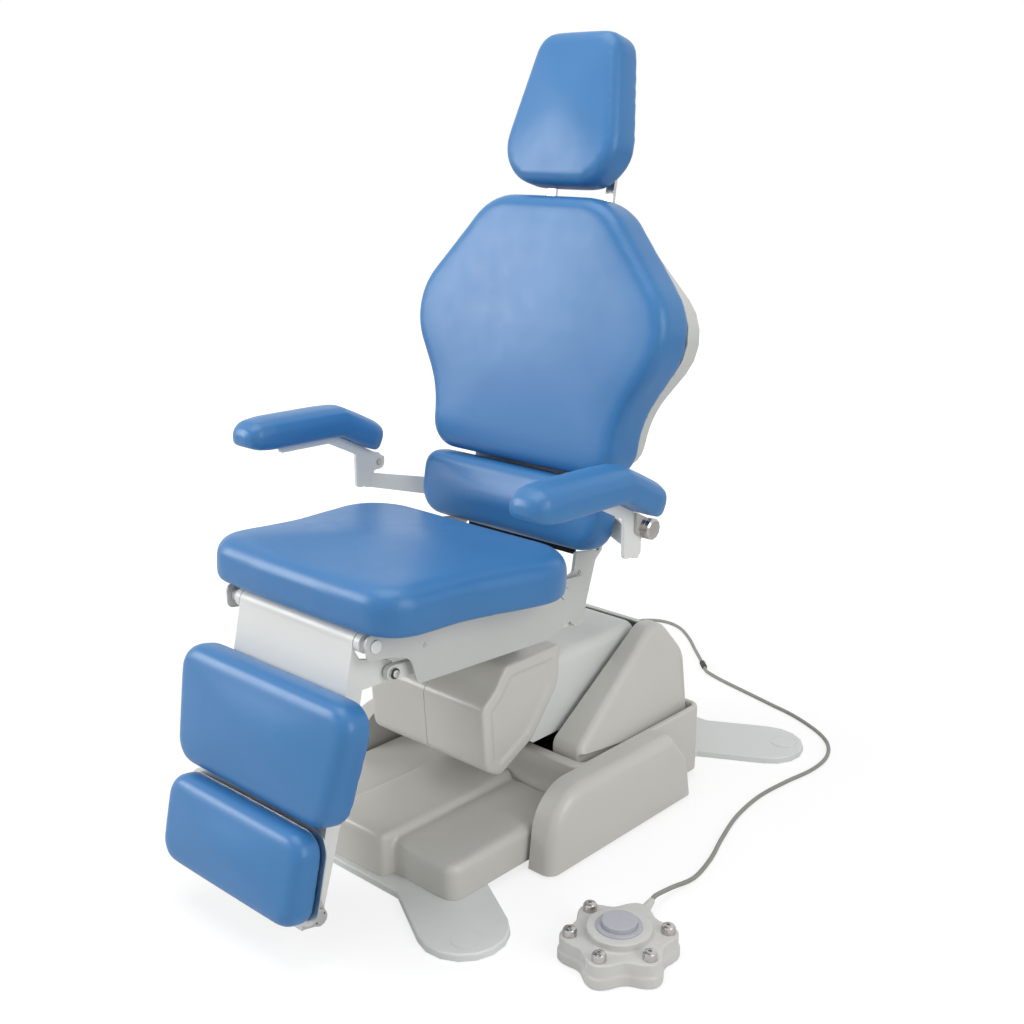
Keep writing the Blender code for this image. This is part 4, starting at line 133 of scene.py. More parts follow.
def finish(name, colour, cloud=0.03, cloud_size=0.15, rough=(0.34, 0.44), patch=0.03, grain=0.0008, bump=0.06,
           metal=0.0, coat=0.0, along=(1.0, 1.0, 1.0)):
    """A finish with a slightly cloudy colour, a patchy gloss and a fine grain, all sizes in metres."""
    made = bpy.data.materials.new(name)
    made.use_nodes = True
    tree = made.node_tree
    tree.nodes.clear()
    place = add_node(tree, "ShaderNodeTexCoord")
    turned = add_node(tree, "ShaderNodeMapping", {"Vector": place.outputs["Object"], "Scale": along})
    clouds = add_node(tree, "ShaderNodeTexNoise",
                      {"Vector": turned.outputs[0], "Scale": 1.0 / cloud_size, "Detail": 4.0, "Roughness": 0.55})
    tones = add_node(tree, "ShaderNodeValToRGB", {"Fac": clouds.outputs["Fac"]})
    tones.color_ramp.elements[0].position = 0.30
    tones.color_ramp.elements[0].color = [part * (1 - cloud) for part in colour] + [1.0]
    tones.color_ramp.elements[1].position = 0.70
    tones.color_ramp.elements[1].color = [min(1.0, part * (1 + cloud)) for part in colour] + [1.0]
    patches = add_node(tree, "ShaderNodeTexNoise",
                       {"Vector": turned.outputs[0], "Scale": 1.0 / patch, "Detail": 5.0, "Roughness": 0.6})
    gloss = add_node(tree, "ShaderNodeMapRange", {"Value": patches.outputs["Fac"], "From Min": 0.3, "From Max": 0.7,
                                                 "To Min": rough[0], "To Max": rough[1]})
    fine = add_node(tree, "ShaderNodeTexNoise",
                    {"Vector": turned.outputs[0], "Scale": 1.0 / grain, "Detail": 2.0, "Roughness": 0.5})
    relief = add_node(tree, "ShaderNodeBump",
                      {"Height": fine.outputs["Fac"], "Strength": bump, "Distance": grain * 0.5})
    skin = add_node(tree, "ShaderNodeBsdfPrincipled",
                    {"Base Color": tones.outputs["Color"], "Roughness": gloss.outputs["Result"],
                     "Normal": relief.outputs["Normal"], "Metallic": metal, "Coat Weight": coat,
                     "Coat Roughness": 0.25})
    add_node(tree, "ShaderNodeOutputMaterial", {"Surface": skin.outputs[0]})
    return made


def dress(names, material, edge):
    """Gives CAD nodes their finish, rounds their sharp edges and shades them smooth."""
    for name in names.split():
        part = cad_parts[name]
        part.material_slots[0].material = material
        for face in part.data.polygons:
            face.use_smooth = True
        weld = part.modifiers.new("joined_corners", "WELD")
        weld.merge_threshold = 0.00001
        flat = part.modifiers.new("whole_faces", "DECIMATE")
        flat.decimate_type = "DISSOLVE"
        flat.angle_limit = math.radians(1.0)
        rounding = part.modifiers.new("round_edges", "BEVEL")
        rounding.width = edge
        rounding.segments = 3
        rounding.limit_method = "ANGLE"
        rounding.angle_limit = math.radians(34)
        rounding.miter_outer = "MITER_ARC"
        even = part.modifiers.new("even_shading", "WEIGHTED_NORMAL")
        even.weight = 60


plate_paint = finish("plate_paint", (0.700, 0.715, 0.706), cloud=0.02, rough=(0.30, 0.40), grain=0.0011, bump=0.10)
dress("base_plate", plate_paint, 0.004)

# Front cover of the base: a low beige-grey moulding with two wings and a raised middle that stands
# ahead of them. The plastic has a satin skin and soft edges, and is screwed on from below.
cover_plastic = finish("cover_plastic", (0.580, 0.570, 0.530), cloud=0.02, cloud_size=0.22, rough=(0.28, 0.36),
                       patch=0.05, grain=0.0007, bump=0.05, coat=0.12)


def start_edit(part):
    """Opens a piece for editing with nothing selected."""
    bpy.ops.object.select_all(action="DESELECT")
    bpy.context.view_layer.objects.active = part
    part.select_set(True)
    bpy.ops.object.mode_set(mode="EDIT")
    bpy.ops.mesh.select_all(action="DESELECT")


def pick_edges(part, wanted):
    """Selects the edges that wanted(one end, other end) accepts."""
    bpy.ops.mesh.select_mode(type="EDGE")
    bpy.ops.mesh.select_all(action="DESELECT")
    net = bmesh.from_edit_mesh(part.data)
    for edge in net.edges:
        if wanted(edge.verts[0].co, edge.verts[1].co):
            edge.select_set(True)
    bmesh.update_edit_mesh(part.data)


def done(part, material, body, stands_for, turn=35):
    """Closes a modelled piece: outward faces, smooth shading, its finish and its place in the chair."""
    if bpy.context.mode != "OBJECT":
        bpy.ops.object.mode_set(mode="OBJECT")
    start_edit(part)
    bpy.ops.mesh.select_all(action="SELECT")
    bpy.ops.mesh.normals_make_consistent(inside=False)
    bpy.ops.object.mode_set(mode="OBJECT")
    bpy.ops.object.shade_smooth_by_angle(angle=math.radians(turn))
    part.data.materials.clear()
    part.data.materials.append(material)
    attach(part, body)
    if stands_for:
        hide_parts(*stands_for.split())


def brick(title, low, high):
    """A box between two corners, ready for editing."""
    bpy.ops.object.select_all(action="DESELECT")
    bpy.ops.mesh.primitive_cube_add(size=1.0, location=[(a + b) / 2 for a, b in zip(low, high)])
    part = bpy.context.object
    part.name = title
    part.scale = [b - a for a, b in zip(low, high)]
    bpy.ops.object.transform_apply(location=True, rotation=True, scale=True)
    start_edit(part)
    return part


def even_skin(part, net_size, passes):
    """Gives a piece one skin with an even net, and softens its edges."""
    even = part.modifiers.new("even_net", "REMESH")
    even.mode = "VOXEL"
    even.voxel_size = net_size
    bpy.ops.object.modifier_apply(modifier=even.name)
    soft = part.modifiers.new("soft", "SMOOTH")
    soft.factor = 0.5
    soft.iterations = passes
    bpy.ops.object.modifier_apply(modifier=soft.name)


def join(first, *others):
    """Makes one piece of several."""
    bpy.ops.object.select_all(action="DESELECT")
    for part in (first, *others):
        part.select_set(True)
    bpy.context.view_layer.objects.active = first
    bpy.ops.object.join()


def cut(part, place, way):
    """Cuts a piece at a plane, keeps what lies on the side that way points to, and closes the cut."""
    start_edit(part)
    bpy.ops.mesh.select_all(action="SELECT")
    bpy.ops.mesh.bisect(plane_co=place, plane_no=way, use_fill=True, clear_inner=True)
    bpy.ops.object.mode_set(mode="OBJECT")


# Points that are nearer than this lie in one face.
touch = 0.001
upwards = (0.0, 0.0, 1.0)
cover_foot, cover_rear, cover_spare = 0.0123, -0.1003, 0.006


def cover_block(title, half, front, top, corner, corner_steps, rim):
    """One block of the front cover with round front corners and upper edges.

    It reaches a spare length below the foot, which is cut off after the edges are softened.
    """
    block = brick(title, (-half, front, cover_foot - cover_spare), (half, cover_rear, top))
    pick_edges(block, lambda a, b: max(a.y, b.y) < front + touch and abs(a.z - b.z) > touch)
    bpy.ops.mesh.bevel(offset=corner, segments=corner_steps, affect="EDGES")
    pick_edges(block, lambda a, b: min(a.z, b.z) > top - touch and min(a.y, b.y) < cover_rear - touch)
    bpy.ops.mesh.bevel(offset=rim, segments=5, affect="EDGES")
    bpy.ops.object.mode_set(mode="OBJECT")
    return block


front_cover = cover_block("front_cover", half=0.193, front=-0.368, top=0.0683, corner=0.022, corner_steps=6, rim=0.014)
ridge = cover_block("ridge", half=0.066, front=-0.390, top=0.0823, corner=0.012, corner_steps=5, rim=0.013)
join(front_cover, ridge)
even_skin(front_cover, net_size=0.003, passes=6)
cut(front_cover, (0.0, 0.0, cover_foot), upwards)
done(front_cover, cover_plastic, "base", "base_front_cover", 60)

# Tray with its side covers: one big moulding in the same plastic. The tray's mouth has a wide ledge,
# and the long covers at its sides are level with it, with a round nose and a very round outer edge.


def pick_faces(part, wanted):
    """Selects the faces that wanted(middle, normal) accepts."""
    bpy.ops.mesh.select_mode(type="FACE")
    bpy.ops.mesh.select_all(action="DESELECT")
    net = bmesh.from_edit_mesh(part.data)
    for face in net.faces:
        if wanted(face.calc_center_median(), face.normal):
            face.select_set(True)
    bmesh.update_edit_mesh(part.data)


tray_half, tray_front, tray_rear, tray_rim, tray_deep = 0.207, -0.100, 0.235, 0.132, 0.105
ledge, front_ledge, rear_ledge = 0.0115, 0.010, 0.003
tray = brick("tray", (-tray_half, tray_front, cover_foot), (tray_half, tray_rear, tray_rim))
pick_edges(tray, lambda a, b: abs(a.z - b.z) > touch)
bpy.ops.mesh.bevel(offset=0.022, segments=8, affect="EDGES")
pick_faces(tray, lambda middle, normal: normal.z > 0.9)
bpy.ops.mesh.inset(thickness=ledge)
net = bmesh.from_edit_mesh(tray.data)
for face in net.faces:
    if face.select:
        for v in face.verts:
            v.co.y += front_ledge if v.co.y < 0.0 else rear_ledge
bmesh.update_edit_mesh(tray.data)
bpy.ops.mesh.extrude_region_move(TRANSFORM_OT_translate={"value": (0.0, 0.0, -tray_deep)})
pick_edges(tray, lambda a, b: min(a.z, b.z) > tray_rim - touch)
net = bmesh.from_edit_mesh(tray.data)
for edge in net.edges:
    if edge.select and min(abs(face.normal.z) for face in edge.link_faces) > 0.5:
        edge.select_set(False)
bmesh.update_edit_mesh(tray.data)
bpy.ops.mesh.bevel(offset=0.0045, segments=4, affect="EDGES")
done(tray, cover_plastic, "base", "base_tray")


def rounded_line(corners, steps=9):
    """A closed outline with rounded corners, from (u, v, radius) in order."""
    line = []
    for i, (u, v, radius) in enumerate(corners):
        here = Vector((u, v))
        back = (Vector(corners[i - 1][:2]) - here).normalized()
        on = (Vector(corners[(i + 1) % len(corners)][:2]) - here).normalized()
        if radius == 0.0:
            line.append(here)
            continue
        half = back.angle(on) / 2
        middle = here + (back + on).normalized() * (radius / math.sin(half))
        first = here + back * (radius / math.tan(half)) - middle
        last = here + on * (radius / math.tan(half)) - middle
        for k in range(steps + 1):
            t = k / steps
            arm = first.lerp(last, t)
            if arm.length > 1e-9:
                line.append(middle + arm.normalized() * radius)
    return line


def flat_piece(title, spots):
    """A new piece with one face through its spots, selected and open for editing."""
    mesh = bpy.data.meshes.new(title)
    mesh.from_pydata(spots, [], [list(range(len(spots)))])
    part = bpy.data.objects.new(title, mesh)
    scene.collection.objects.link(part)
    start_edit(part)
    bpy.ops.mesh.select_all(action="SELECT")
    return part


def drawn_out(title, outline, inner, outer, lean=0.0, foot=0.0):
    """A side outline drawn out across the chair. Its outer face leans inwards from the foot up."""
    part = flat_piece(title, [(inner, u, v) for u, v in outline])
    bpy.ops.mesh.extrude_region_move(TRANSFORM_OT_translate={"value": (outer - inner, 0.0, 0.0)})
    net = bmesh.from_edit_mesh(part.data)
    for v in net.verts:
        if v.select:
            v.co.x -= math.copysign(lean * (v.co.z - foot), outer)
    bmesh.update_edit_mesh(part.data)
    bpy.ops.mesh.select_all(action="SELECT")
    bpy.ops.mesh.normals_make_consistent(inside=False)
    return part


side_inner, side_outer, side_foot, side_top = 0.200, 0.2463, 0.004, 0.1317
side_line = rounded_line([(-0.212, side_foot, 0.0), (0.160, side_foot, 0.0), (0.148, 0.072, 0.020),
                          (0.100, side_top, 0.030), (-0.196, side_top, 0.075)], 12)
for name, side in (("side_cover_left", 1), ("side_cover_right", -1)):
    cover = drawn_out(name + "_moulding", side_line, side * side_inner, side * side_outer)
    pick_edges(cover, lambda a, b: min(abs(a.x), abs(b.x)) > side_outer - touch
               and max(a.z, b.z) > side_foot + touch)
    bpy.ops.mesh.bevel(offset=0.019, segments=7, affect="EDGES")
    done(cover, cover_plastic, "base", name)

# Pivot covers: tall mouldings that stand in the tray's mouth at both sides of the arm.
# Their outer faces lean inwards and all outer edges are very round.
pivot_inner, pivot_outer, pivot_foot, pivot_top, pivot_lean = 0.1300, 0.1935, 0.100, 0.290, 0.18
pivot_line = rounded_line([(-0.0765, pivot_foot, 0.0), (0.2260, pivot_foot, 0.0), (0.220, 0.230, 0.050),
                           (0.172, pivot_top, 0.035), (0.1355, pivot_top, 0.024), (-0.0765, 0.1500, 0.020)], 8)
for name, side in (("pivot_cover_left", 1), ("pivot_cover_right", -1)):
    cover = drawn_out(name + "_moulding", pivot_line, side * pivot_inner, side * pivot_outer, pivot_lean, tray_rim)
    pick_edges(cover, lambda a, b: min(abs(a.x), abs(b.x)) > pivot_inner + touch
               and max(a.z, b.z) > pivot_foot + touch)
    bpy.ops.mesh.bevel(offset=0.014, segments=6, affect="EDGES")
    pick_edges(cover, lambda a, b: max(abs(a.x), abs(b.x)) < pivot_inner + touch
               and max(a.z, b.z) > pivot_foot + touch)
    bpy.ops.mesh.bevel(offset=0.003, segments=3, affect="EDGES")
    done(cover, cover_plastic, "base", name)

# Levelling feet: a round cap in each lobe of the base plate, flush with the plate, with a thin groove
# round it. They are painted like the plate.


def step_in(*steps):
    """Insets the picked face in steps, each so far inwards and so far up."""
    for inwards, rise in steps:
        bpy.ops.mesh.inset(thickness=inwards, depth=rise)


cap_x, cap_y, cap_z, cap_radius, cap_thick = 0.268, 0.416, 0.0112, 0.0240, 0.0024
for number, (x, y) in enumerate(((cap_x, -cap_y), (-cap_x, -cap_y), (cap_x, cap_y), (-cap_x, cap_y)), 1):
    bpy.ops.object.select_all(action="DESELECT")
    bpy.ops.mesh.primitive_cylinder_add(vertices=64, radius=cap_radius, depth=cap_thick, location=(x, y, cap_z))
    cap = bpy.context.object
    cap.name = "levelling_cap_" + str(number)
    bpy.ops.object.transform_apply(location=True, rotation=True, scale=True)
    start_edit(cap)
    pick_faces(cap, lambda middle, normal: normal.z > 0.9)
    step_in((0.0008, 0.0), (0.0002, -0.0012), (0.0009, 0.0), (0.0002, 0.0014))
    done(cap, plate_paint, "base", "")

# Lifting gear inside the base: the steel cheeks with their shaft, the parallel link, the actuator
# and the power supply. They are plain painted or bright steel and black plastic, bolted together.
grey_paint = finish("grey_paint", (0.680, 0.695, 0.675), cloud=0.025, rough=(0.32, 0.42), grain=0.0009, bump=0.08)
bright_steel = finish("bright_steel", (0.60, 0.60, 0.59), cloud=0.05, cloud_size=0.05, rough=(0.22, 0.36), patch=0.012,
                      grain=0.0004, bump=0.04, metal=1.0)
black_plastic = finish("black_plastic", (0.018, 0.018, 0.019), cloud=0.15, rough=(0.42, 0.58), patch=0.01,
                       grain=0.0005, bump=0.12)
dress("pivot_bracket_left pivot_bracket_right centre_bracket", grey_paint, 0.0008)
dress("lift_pivot_shaft arm_front_shaft level_link lift_actuator_rod", bright_steel, 0.0006)
dress("lift_actuator_body control_box", black_plastic, 0.0008)

# Lifting arm, rear panel and seat carrier: folded sheet steel in light grey paint. The arm is a channel,
# open below and cut off aslant at its front end. The panel's lip covers the gap behind it.
arm_front, arm_rear, arm_low, arm_top, arm_half = -0.198, 0.150, 0.152, 0.283, 0.118
arm_fold, arm_sheet = 0.020, 0.004
fold = rounded_line([(-arm_half, arm_low, 0.0), (-arm_half, arm_top, arm_fold), (arm_half, arm_top, arm_fold),
                     (arm_half, arm_low, 0.0)], 7)
sheet = bpy.data.meshes.new("lift_arm_channel")
sheet.from_pydata([(x, arm_front, z) for x, z in fold], [(k, k + 1) for k in range(len(fold) - 1)], [])
arm = bpy.data.objects.new("lift_arm_channel", sheet)
scene.collection.objects.link(arm)
start_edit(arm)
bpy.ops.mesh.select_mode(type="EDGE")
bpy.ops.mesh.select_all(action="SELECT")
bpy.ops.mesh.extrude_region_move(TRANSFORM_OT_translate={"value": (0.0, arm_rear - arm_front, 0.0)})
bpy.ops.mesh.select_all(action="SELECT")
bpy.ops.mesh.normals_make_consistent(inside=False)
net = bmesh.from_edit_mesh(sheet)
if sum(face.normal.z for face in net.faces) < 0:
    bpy.ops.mesh.flip_normals()
bpy.ops.object.mode_set(mode="OBJECT")
wall = arm.modifiers.new("sheet", "SOLIDIFY")
wall.thickness = arm_sheet
wall.offset = -1.0
bpy.ops.object.modifier_apply(modifier=wall.name)
upper_slope = ((0.0, -0.165, arm_top), (0.0, 0.65, -0.76))
lower_slope = ((0.0, arm_front, 0.223), (0.0, 0.63, 0.78))
for place, way in (upper_slope, lower_slope):
    cut(arm, place, way)
done(arm, grey_paint, "arm", "lift_arm")
dress("rear_panel seat_carrier", grey_paint, 0.0008)

# Cover of the arm's front joint: two moulded halves of the same beige-grey plastic,
# which meet in a seam on the middle line and are screwed to the carrier from inside.
# A shallow panel with soft borders is sunk in both sides.
joint_line = rounded_line([(-0.237, 0.252, 0.020), (-0.229, 0.148, 0.020), (-0.196, 0.128, 0.016),
                           (-0.120, 0.166, 0.030), (-0.060, 0.240, 0.030), (-0.054, 0.309, 0.008),
                           (-0.182, 0.309, 0.014), (-0.206, 0.276, 0.014)], 6)
joint_half, half_seam = 0.1285, 0.0005
panel_border, panel_slope, panel_deep = 0.017, 0.007, 0.0030
whole = drawn_out("joint_cover", joint_line, -joint_half, joint_half)
bpy.ops.object.mode_set(mode="OBJECT")
even_skin(whole, net_size=0.0028, passes=14)
spots = numpy.array([v.co for v in whole.data.vertices])
depth = numpy.full(len(spots), 1.0)
for one, other in zip(joint_line, joint_line[1:] + joint_line[:1]):
    run = numpy.array(other - one)
    gap = spots[:, 1:] - numpy.array(one)
    along = numpy.clip(gap @ run / (run @ run), 0.0, 1.0)
    depth = numpy.minimum(depth, numpy.linalg.norm(gap - along[:, None] * run, axis=1))
ease = numpy.clip((depth - panel_border) / panel_slope, 0.0, 1.0)
press = panel_deep * ease * ease * (3 - 2 * ease)
flank = numpy.abs(spots[:, 0]) > joint_half - panel_deep
spots[flank, 0] -= numpy.sign(spots[flank, 0]) * press[flank]
whole.data.vertices.foreach_set("co", spots.ravel())
for name, side in (("arm_front_cover_left", 1), ("arm_front_cover_right", -1)):
    cover = bpy.data.objects.new(name + "_moulding", whole.data.copy())
    scene.collection.objects.link(cover)
    cut(cover, (side * half_seam, 0.0, 0.0), (side, 0.0, 0.0))
    done(cover, cover_plastic, "seat", name, 50)
bpy.data.objects.remove(whole)

# Seat frame and backrest frame: cut and folded white sheet, with the hinge shaft between them.
# The powder paint is smooth and a little glossy, and small button screws hold the sheets together.
# Their colour is the white paint darkened: painted shade for the shade under the cushions.
# The moulded shell behind the back has the same colour.
shaded_white_paint = finish("shaded_white_paint", (0.520, 0.530, 0.508), cloud=0.02, rough=(0.28, 0.38), grain=0.0010, bump=0.07)
dress("seat_frame backrest_frame", shaded_white_paint, 0.0007)
dress("backrest_hinge_shaft", shaded_white_paint, 0.0006)
dress("back_shell", shaded_white_paint, 0.003)


def turned_head(title, place, way, radius, high, socket, material, body, rim=0.25):
    """A round bolt or screw head with a socket in its face, standing at a place and facing a way."""
    facing = Vector(way)
    bpy.ops.object.select_all(action="DESELECT")
    bpy.ops.mesh.primitive_cylinder_add(vertices=36, radius=radius, depth=high)
    head = bpy.context.object
    head.name = title
    head.rotation_euler = facing.to_track_quat("Z", "Y").to_euler()
    head.location = Vector(place) + facing * high / 2
    bpy.ops.object.transform_apply(location=True, rotation=True, scale=True)
    start_edit(head)
    pick_faces(head, lambda middle, normal: normal.dot(facing) > 0.99)
    step_in((radius * rim, high * 0.3))
    if socket:
        step_in((radius * (1 - rim) - socket, 0.0), (socket * 0.06, -high * 0.9))
    done(head, material, body, "")
    return head


# The screw heads take the same darkened white paint, a painted shade.
screw_radius, screw_high, screw_socket = 0.0036, 0.0012, 0.0013
for end, side in (("left", 1), ("right", -1)):
    for name, place, body in (("frame_screw_", (side * 0.155, -0.377, 0.409), "seat"),
                              ("ear_screw_", (side * 0.1474, -0.034, 0.4275), "backrest")):
        turned_head(name + end, place, (side, 0, 0), screw_radius, screw_high, screw_socket, shaded_white_paint, body)

# Cushions: foam under tight blue vinyl, stretched over a board and stapled at the back,
# so the faces crown a little, the edges are round and the back stays flat.


def blue_vinyl():
    """Smooth upholstery vinyl: a fine pebble, slight stretch marks and a soft sheen."""
    made = bpy.data.materials.new("blue_vinyl")
    made.use_nodes = True
    tree = made.node_tree
    tree.nodes.clear()
    place = add_node(tree, "ShaderNodeTexCoord")
    clouds = add_node(tree, "ShaderNodeTexNoise", {"Vector": place.outputs["Object"], "Scale": 5.0, "Detail": 3.0})
    tones = add_node(tree, "ShaderNodeValToRGB", {"Fac": clouds.outputs["Fac"]})
    tones.color_ramp.elements[0].position = 0.30
    tones.color_ramp.elements[0].color = (0.036, 0.164, 0.385, 1.0)
    tones.color_ramp.elements[1].position = 0.72
    tones.color_ramp.elements[1].color = (0.043, 0.182, 0.420, 1.0)
    pebble = add_node(tree, "ShaderNodeTexVoronoi", {"Vector": place.outputs["Object"], "Scale": 900.0},
                      feature="DISTANCE_TO_EDGE")
    shallow = add_node(tree, "ShaderNodeMapRange", {"Value": pebble.outputs["Distance"], "From Max": 0.25})
    waves = add_node(tree, "ShaderNodeTexNoise", {"Vector": place.outputs["Object"], "Scale": 34.0, "Detail": 4.0})
    gloss = add_node(tree, "ShaderNodeMapRange", {"Value": waves.outputs["Fac"], "From Min": 0.3, "From Max": 0.7,
                                                 "To Min": 0.33, "To Max": 0.38})
    tight = add_node(tree, "ShaderNodeBump", {"Height": waves.outputs["Fac"], "Strength": 0.012, "Distance": 0.003})
    leather = add_node(tree, "ShaderNodeBump", {"Height": shallow.outputs["Result"], "Strength": 0.05,
                                               "Distance": 0.0003, "Normal": tight.outputs["Normal"]})
    skin = add_node(tree, "ShaderNodeBsdfPrincipled",
                    {"Base Color": tones.outputs["Color"], "Roughness": gloss.outputs["Result"],
                     "Normal": leather.outputs["Normal"], "Specular IOR Level": 0.40,
                     "Coat Weight": 0.04, "Coat Roughness": 0.28})
    add_node(tree, "ShaderNodeOutputMaterial", {"Surface": skin.outputs[0]})
    return made


vinyl = blue_vinyl()


def points_of(mesh):
    """The mesh's points as one array."""
    flat = numpy.empty(len(mesh.vertices) * 3)
    mesh.vertices.foreach_get("co", flat)
    return flat.reshape(-1, 3)


def stretch_over(pad, name, body, board, swell):
    """Stretches vinyl over a piece of foam, lets the foam fill it, and sets it in the CAD cushion's place.

    board is the way the flat back faces. Only the swelling outwards is kept, evened over the whole skin.
    """
    frames, evening, back_facing = 20, 60, 0.7
    board_way = Vector(board).normalized()
    held = pad.vertex_groups.new(name="stapled_back")
    held.add([v.index for v in pad.data.vertices if v.normal.dot(board_way) > back_facing], 1.0, "REPLACE")
    start = points_of(pad.data)
    outwards = numpy.empty(len(start) * 3)
    pad.data.vertices.foreach_get("normal", outwards)
    outwards = outwards.reshape(-1, 3)
    cloth = pad.modifiers.new("stretched", "CLOTH")
    cloth.settings.use_pressure = True
    cloth.settings.uniform_pressure_force = 4.0
    cloth.settings.tension_stiffness = 20.0
    cloth.settings.compression_stiffness = 20.0
    cloth.settings.bending_stiffness = 2.0
    cloth.settings.effector_weights.gravity = 0.0
    cloth.settings.vertex_group_mass = held.name
    cloth.point_cache.frame_start = 1
    cloth.point_cache.frame_end = frames
    for step in range(1, frames + 1):
        scene.frame_set(step)
    shaped = pad.evaluated_get(bpy.context.evaluated_depsgraph_get())
    rise = numpy.clip(((points_of(shaped.data) - start) * outwards).sum(axis=1), 0.0, swell)
    scene.frame_set(1)
    pad.modifiers.remove(cloth)
    ends = numpy.array([edge.vertices for edge in pad.data.edges])
    share = numpy.bincount(ends.ravel(), minlength=len(start))
    for _ in range(evening):
        around = numpy.bincount(ends[:, 0], rise[ends[:, 1]], len(start))
        around += numpy.bincount(ends[:, 1], rise[ends[:, 0]], len(start))
        rise = 0.5 * rise + 0.5 * around / share
    rise[outwards @ numpy.array(board_way) > back_facing] = 0.0
    pad.data.vertices.foreach_set("co", (start + outwards * rise[:, None]).ravel())
    pad.data.update()
    fuller = pad.modifiers.new("fuller", "SUBSURF")
    fuller.levels = 1
    fuller.render_levels = 1
    bpy.ops.object.modifier_apply(modifier=fuller.name)
    bpy.ops.object.shade_smooth()
    pad.data.materials.append(vinyl)
    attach(pad, body)
    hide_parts(name)
    return pad


def upholster(name, body, up, out, corners, edge=0.018, back_edge=0.006, crown=0.006, proud=0.0, swell=0.0025):
    """A taut cushion: flat back, straight sides, a rounded front edge and a slightly raised face.

    up and out are the ways along the cushion and out of its face. corners gives the right half of the outline,
    from bottom to top, as (across, along, radius), measured along from the CAD cushion's lowest point.
    proud is how far the face stands over the CAD cushion's.
    """
    up, out = numpy.array(up), numpy.array(out)
    solid = points_of(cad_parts[name].data)
    foot, depths = (solid @ up).min(), solid @ out
    low, high = depths.min(), depths.max() + proud
    spacing, back_lip = 0.0075, 0.012
    right = [(u, s + foot, r) for u, s, r in corners]
    line = numpy.array(rounded_line(right + [(-u, s, r) for u, s, r in reversed(right)], 12))
    step = numpy.linalg.norm(numpy.roll(line, -1, axis=0) - line, axis=1)
    reach = numpy.concatenate([[0.0], numpy.cumsum(step)])
    count = int(reach[-1] / spacing)
    stops = numpy.linspace(0.0, reach[-1], count, endpoint=False)
    loop = numpy.concatenate([line, line[:1]])
    line = numpy.stack([numpy.interp(stops, reach, loop[:, 0]), numpy.interp(stops, reach, loop[:, 1])], axis=1)
    run = numpy.roll(line, -1, axis=0) - numpy.roll(line, 1, axis=0)
    inward = numpy.stack([-run[:, 1], run[:, 0]], axis=1) / numpy.linalg.norm(run, axis=1)[:, None]
    side = high - low - crown
    rings = [(line + inward * (back_edge + back_lip), 0.0)]
    for angle in (0, 30, 60, 90):
        turn = math.radians(angle)
        rings.append((line + inward * back_edge * (1 - math.sin(turn)), back_edge * (1 - math.cos(turn))))
    for height in numpy.linspace(back_edge, side - edge, 6)[1:-1]:
        rings.append((line, height))
    for angle in (0, 15, 30, 45, 60, 75, 90):
        turn = math.radians(angle)
        rings.append((line + inward * edge * (1 - math.cos(turn)), side - edge * (1 - math.sin(turn))))
    brow = line + inward * edge
    centre = numpy.array([0.0, (line[:, 1].max() + line[:, 1].min()) / 2])
    across, along = abs(brow[:, 0]).max(), abs(brow[:, 1] - centre[1]).max()
    for share in (0.95, 0.88, 0.78, 0.66, 0.53, 0.40, 0.27, 0.15, 0.05):
        ring = centre + (brow - centre) * share
        dome = (1 - (ring[:, :1] / across) ** 2) * (1 - ((ring[:, 1:] - centre[1]) / along) ** 2)
        rings.append((ring, side + crown * dome * (1 - share ** 2)))
    spots = []
    for ring, height in rings:
        flat = numpy.zeros((count, 3))
        flat[:, 0] = ring[:, 0]
        spots.extend(flat + ring[:, 1:] * up + out * (low + height))
    faces = [list(range(count))]
    for k in range(len(rings) - 1):
        for j in range(count):
            faces.append((k * count + j, k * count + (j + 1) % count, (k + 1) * count + (j + 1) % count,
                          (k + 1) * count + j))
    faces.append([(len(rings) - 1) * count + j for j in range(count)])
    foam = bpy.data.meshes.new(name + "_vinyl")
    foam.from_pydata([tuple(spot) for spot in spots], [], faces)
    pad = bpy.data.objects.new(name + "_vinyl", foam)
    scene.collection.objects.link(pad)
    start_edit(pad)
    bpy.ops.mesh.select_all(action="SELECT")
    bpy.ops.mesh.normals_make_consistent(inside=False)
    bpy.ops.object.mode_set(mode="OBJECT")
    even_skin(pad, net_size=0.005, passes=8)
    return stretch_over(pad, name, body, -out, swell)


def leaning(angle):
    """The ways up and out of a face that leans back by an angle."""
    turn = math.radians(angle)
    return (0.0, math.sin(turn), math.cos(turn)), (0.0, -math.cos(turn), math.sin(turn))


seat_out, seat_way = leaning(3.5)
upholster("seat_cushion", "seat", seat_way, seat_out,
          [(0.248, 0.0, 0.085), (0.206, 0.225, 0.20), (0.207, 0.376, 0.055), (0.06, 0.382, 0.0)],
          edge=0.028, back_edge=0.012, crown=0.010)
back_up, back_out = leaning(10)
upholster("back_cushion", "backrest", back_up, back_out,
          [(0.196, 0.0, 0.048), (0.1975, 0.095, 0.16), (0.285, 0.238, 0.105), (0.163, 0.374, 0.11),
           (0.122, 0.4235, 0.105)], edge=0.020)
upholster("lumbar_cushion", "backrest", back_up, back_out, [(0.195, 0.0, 0.045), (0.195, 0.108, 0.028)], edge=0.017)
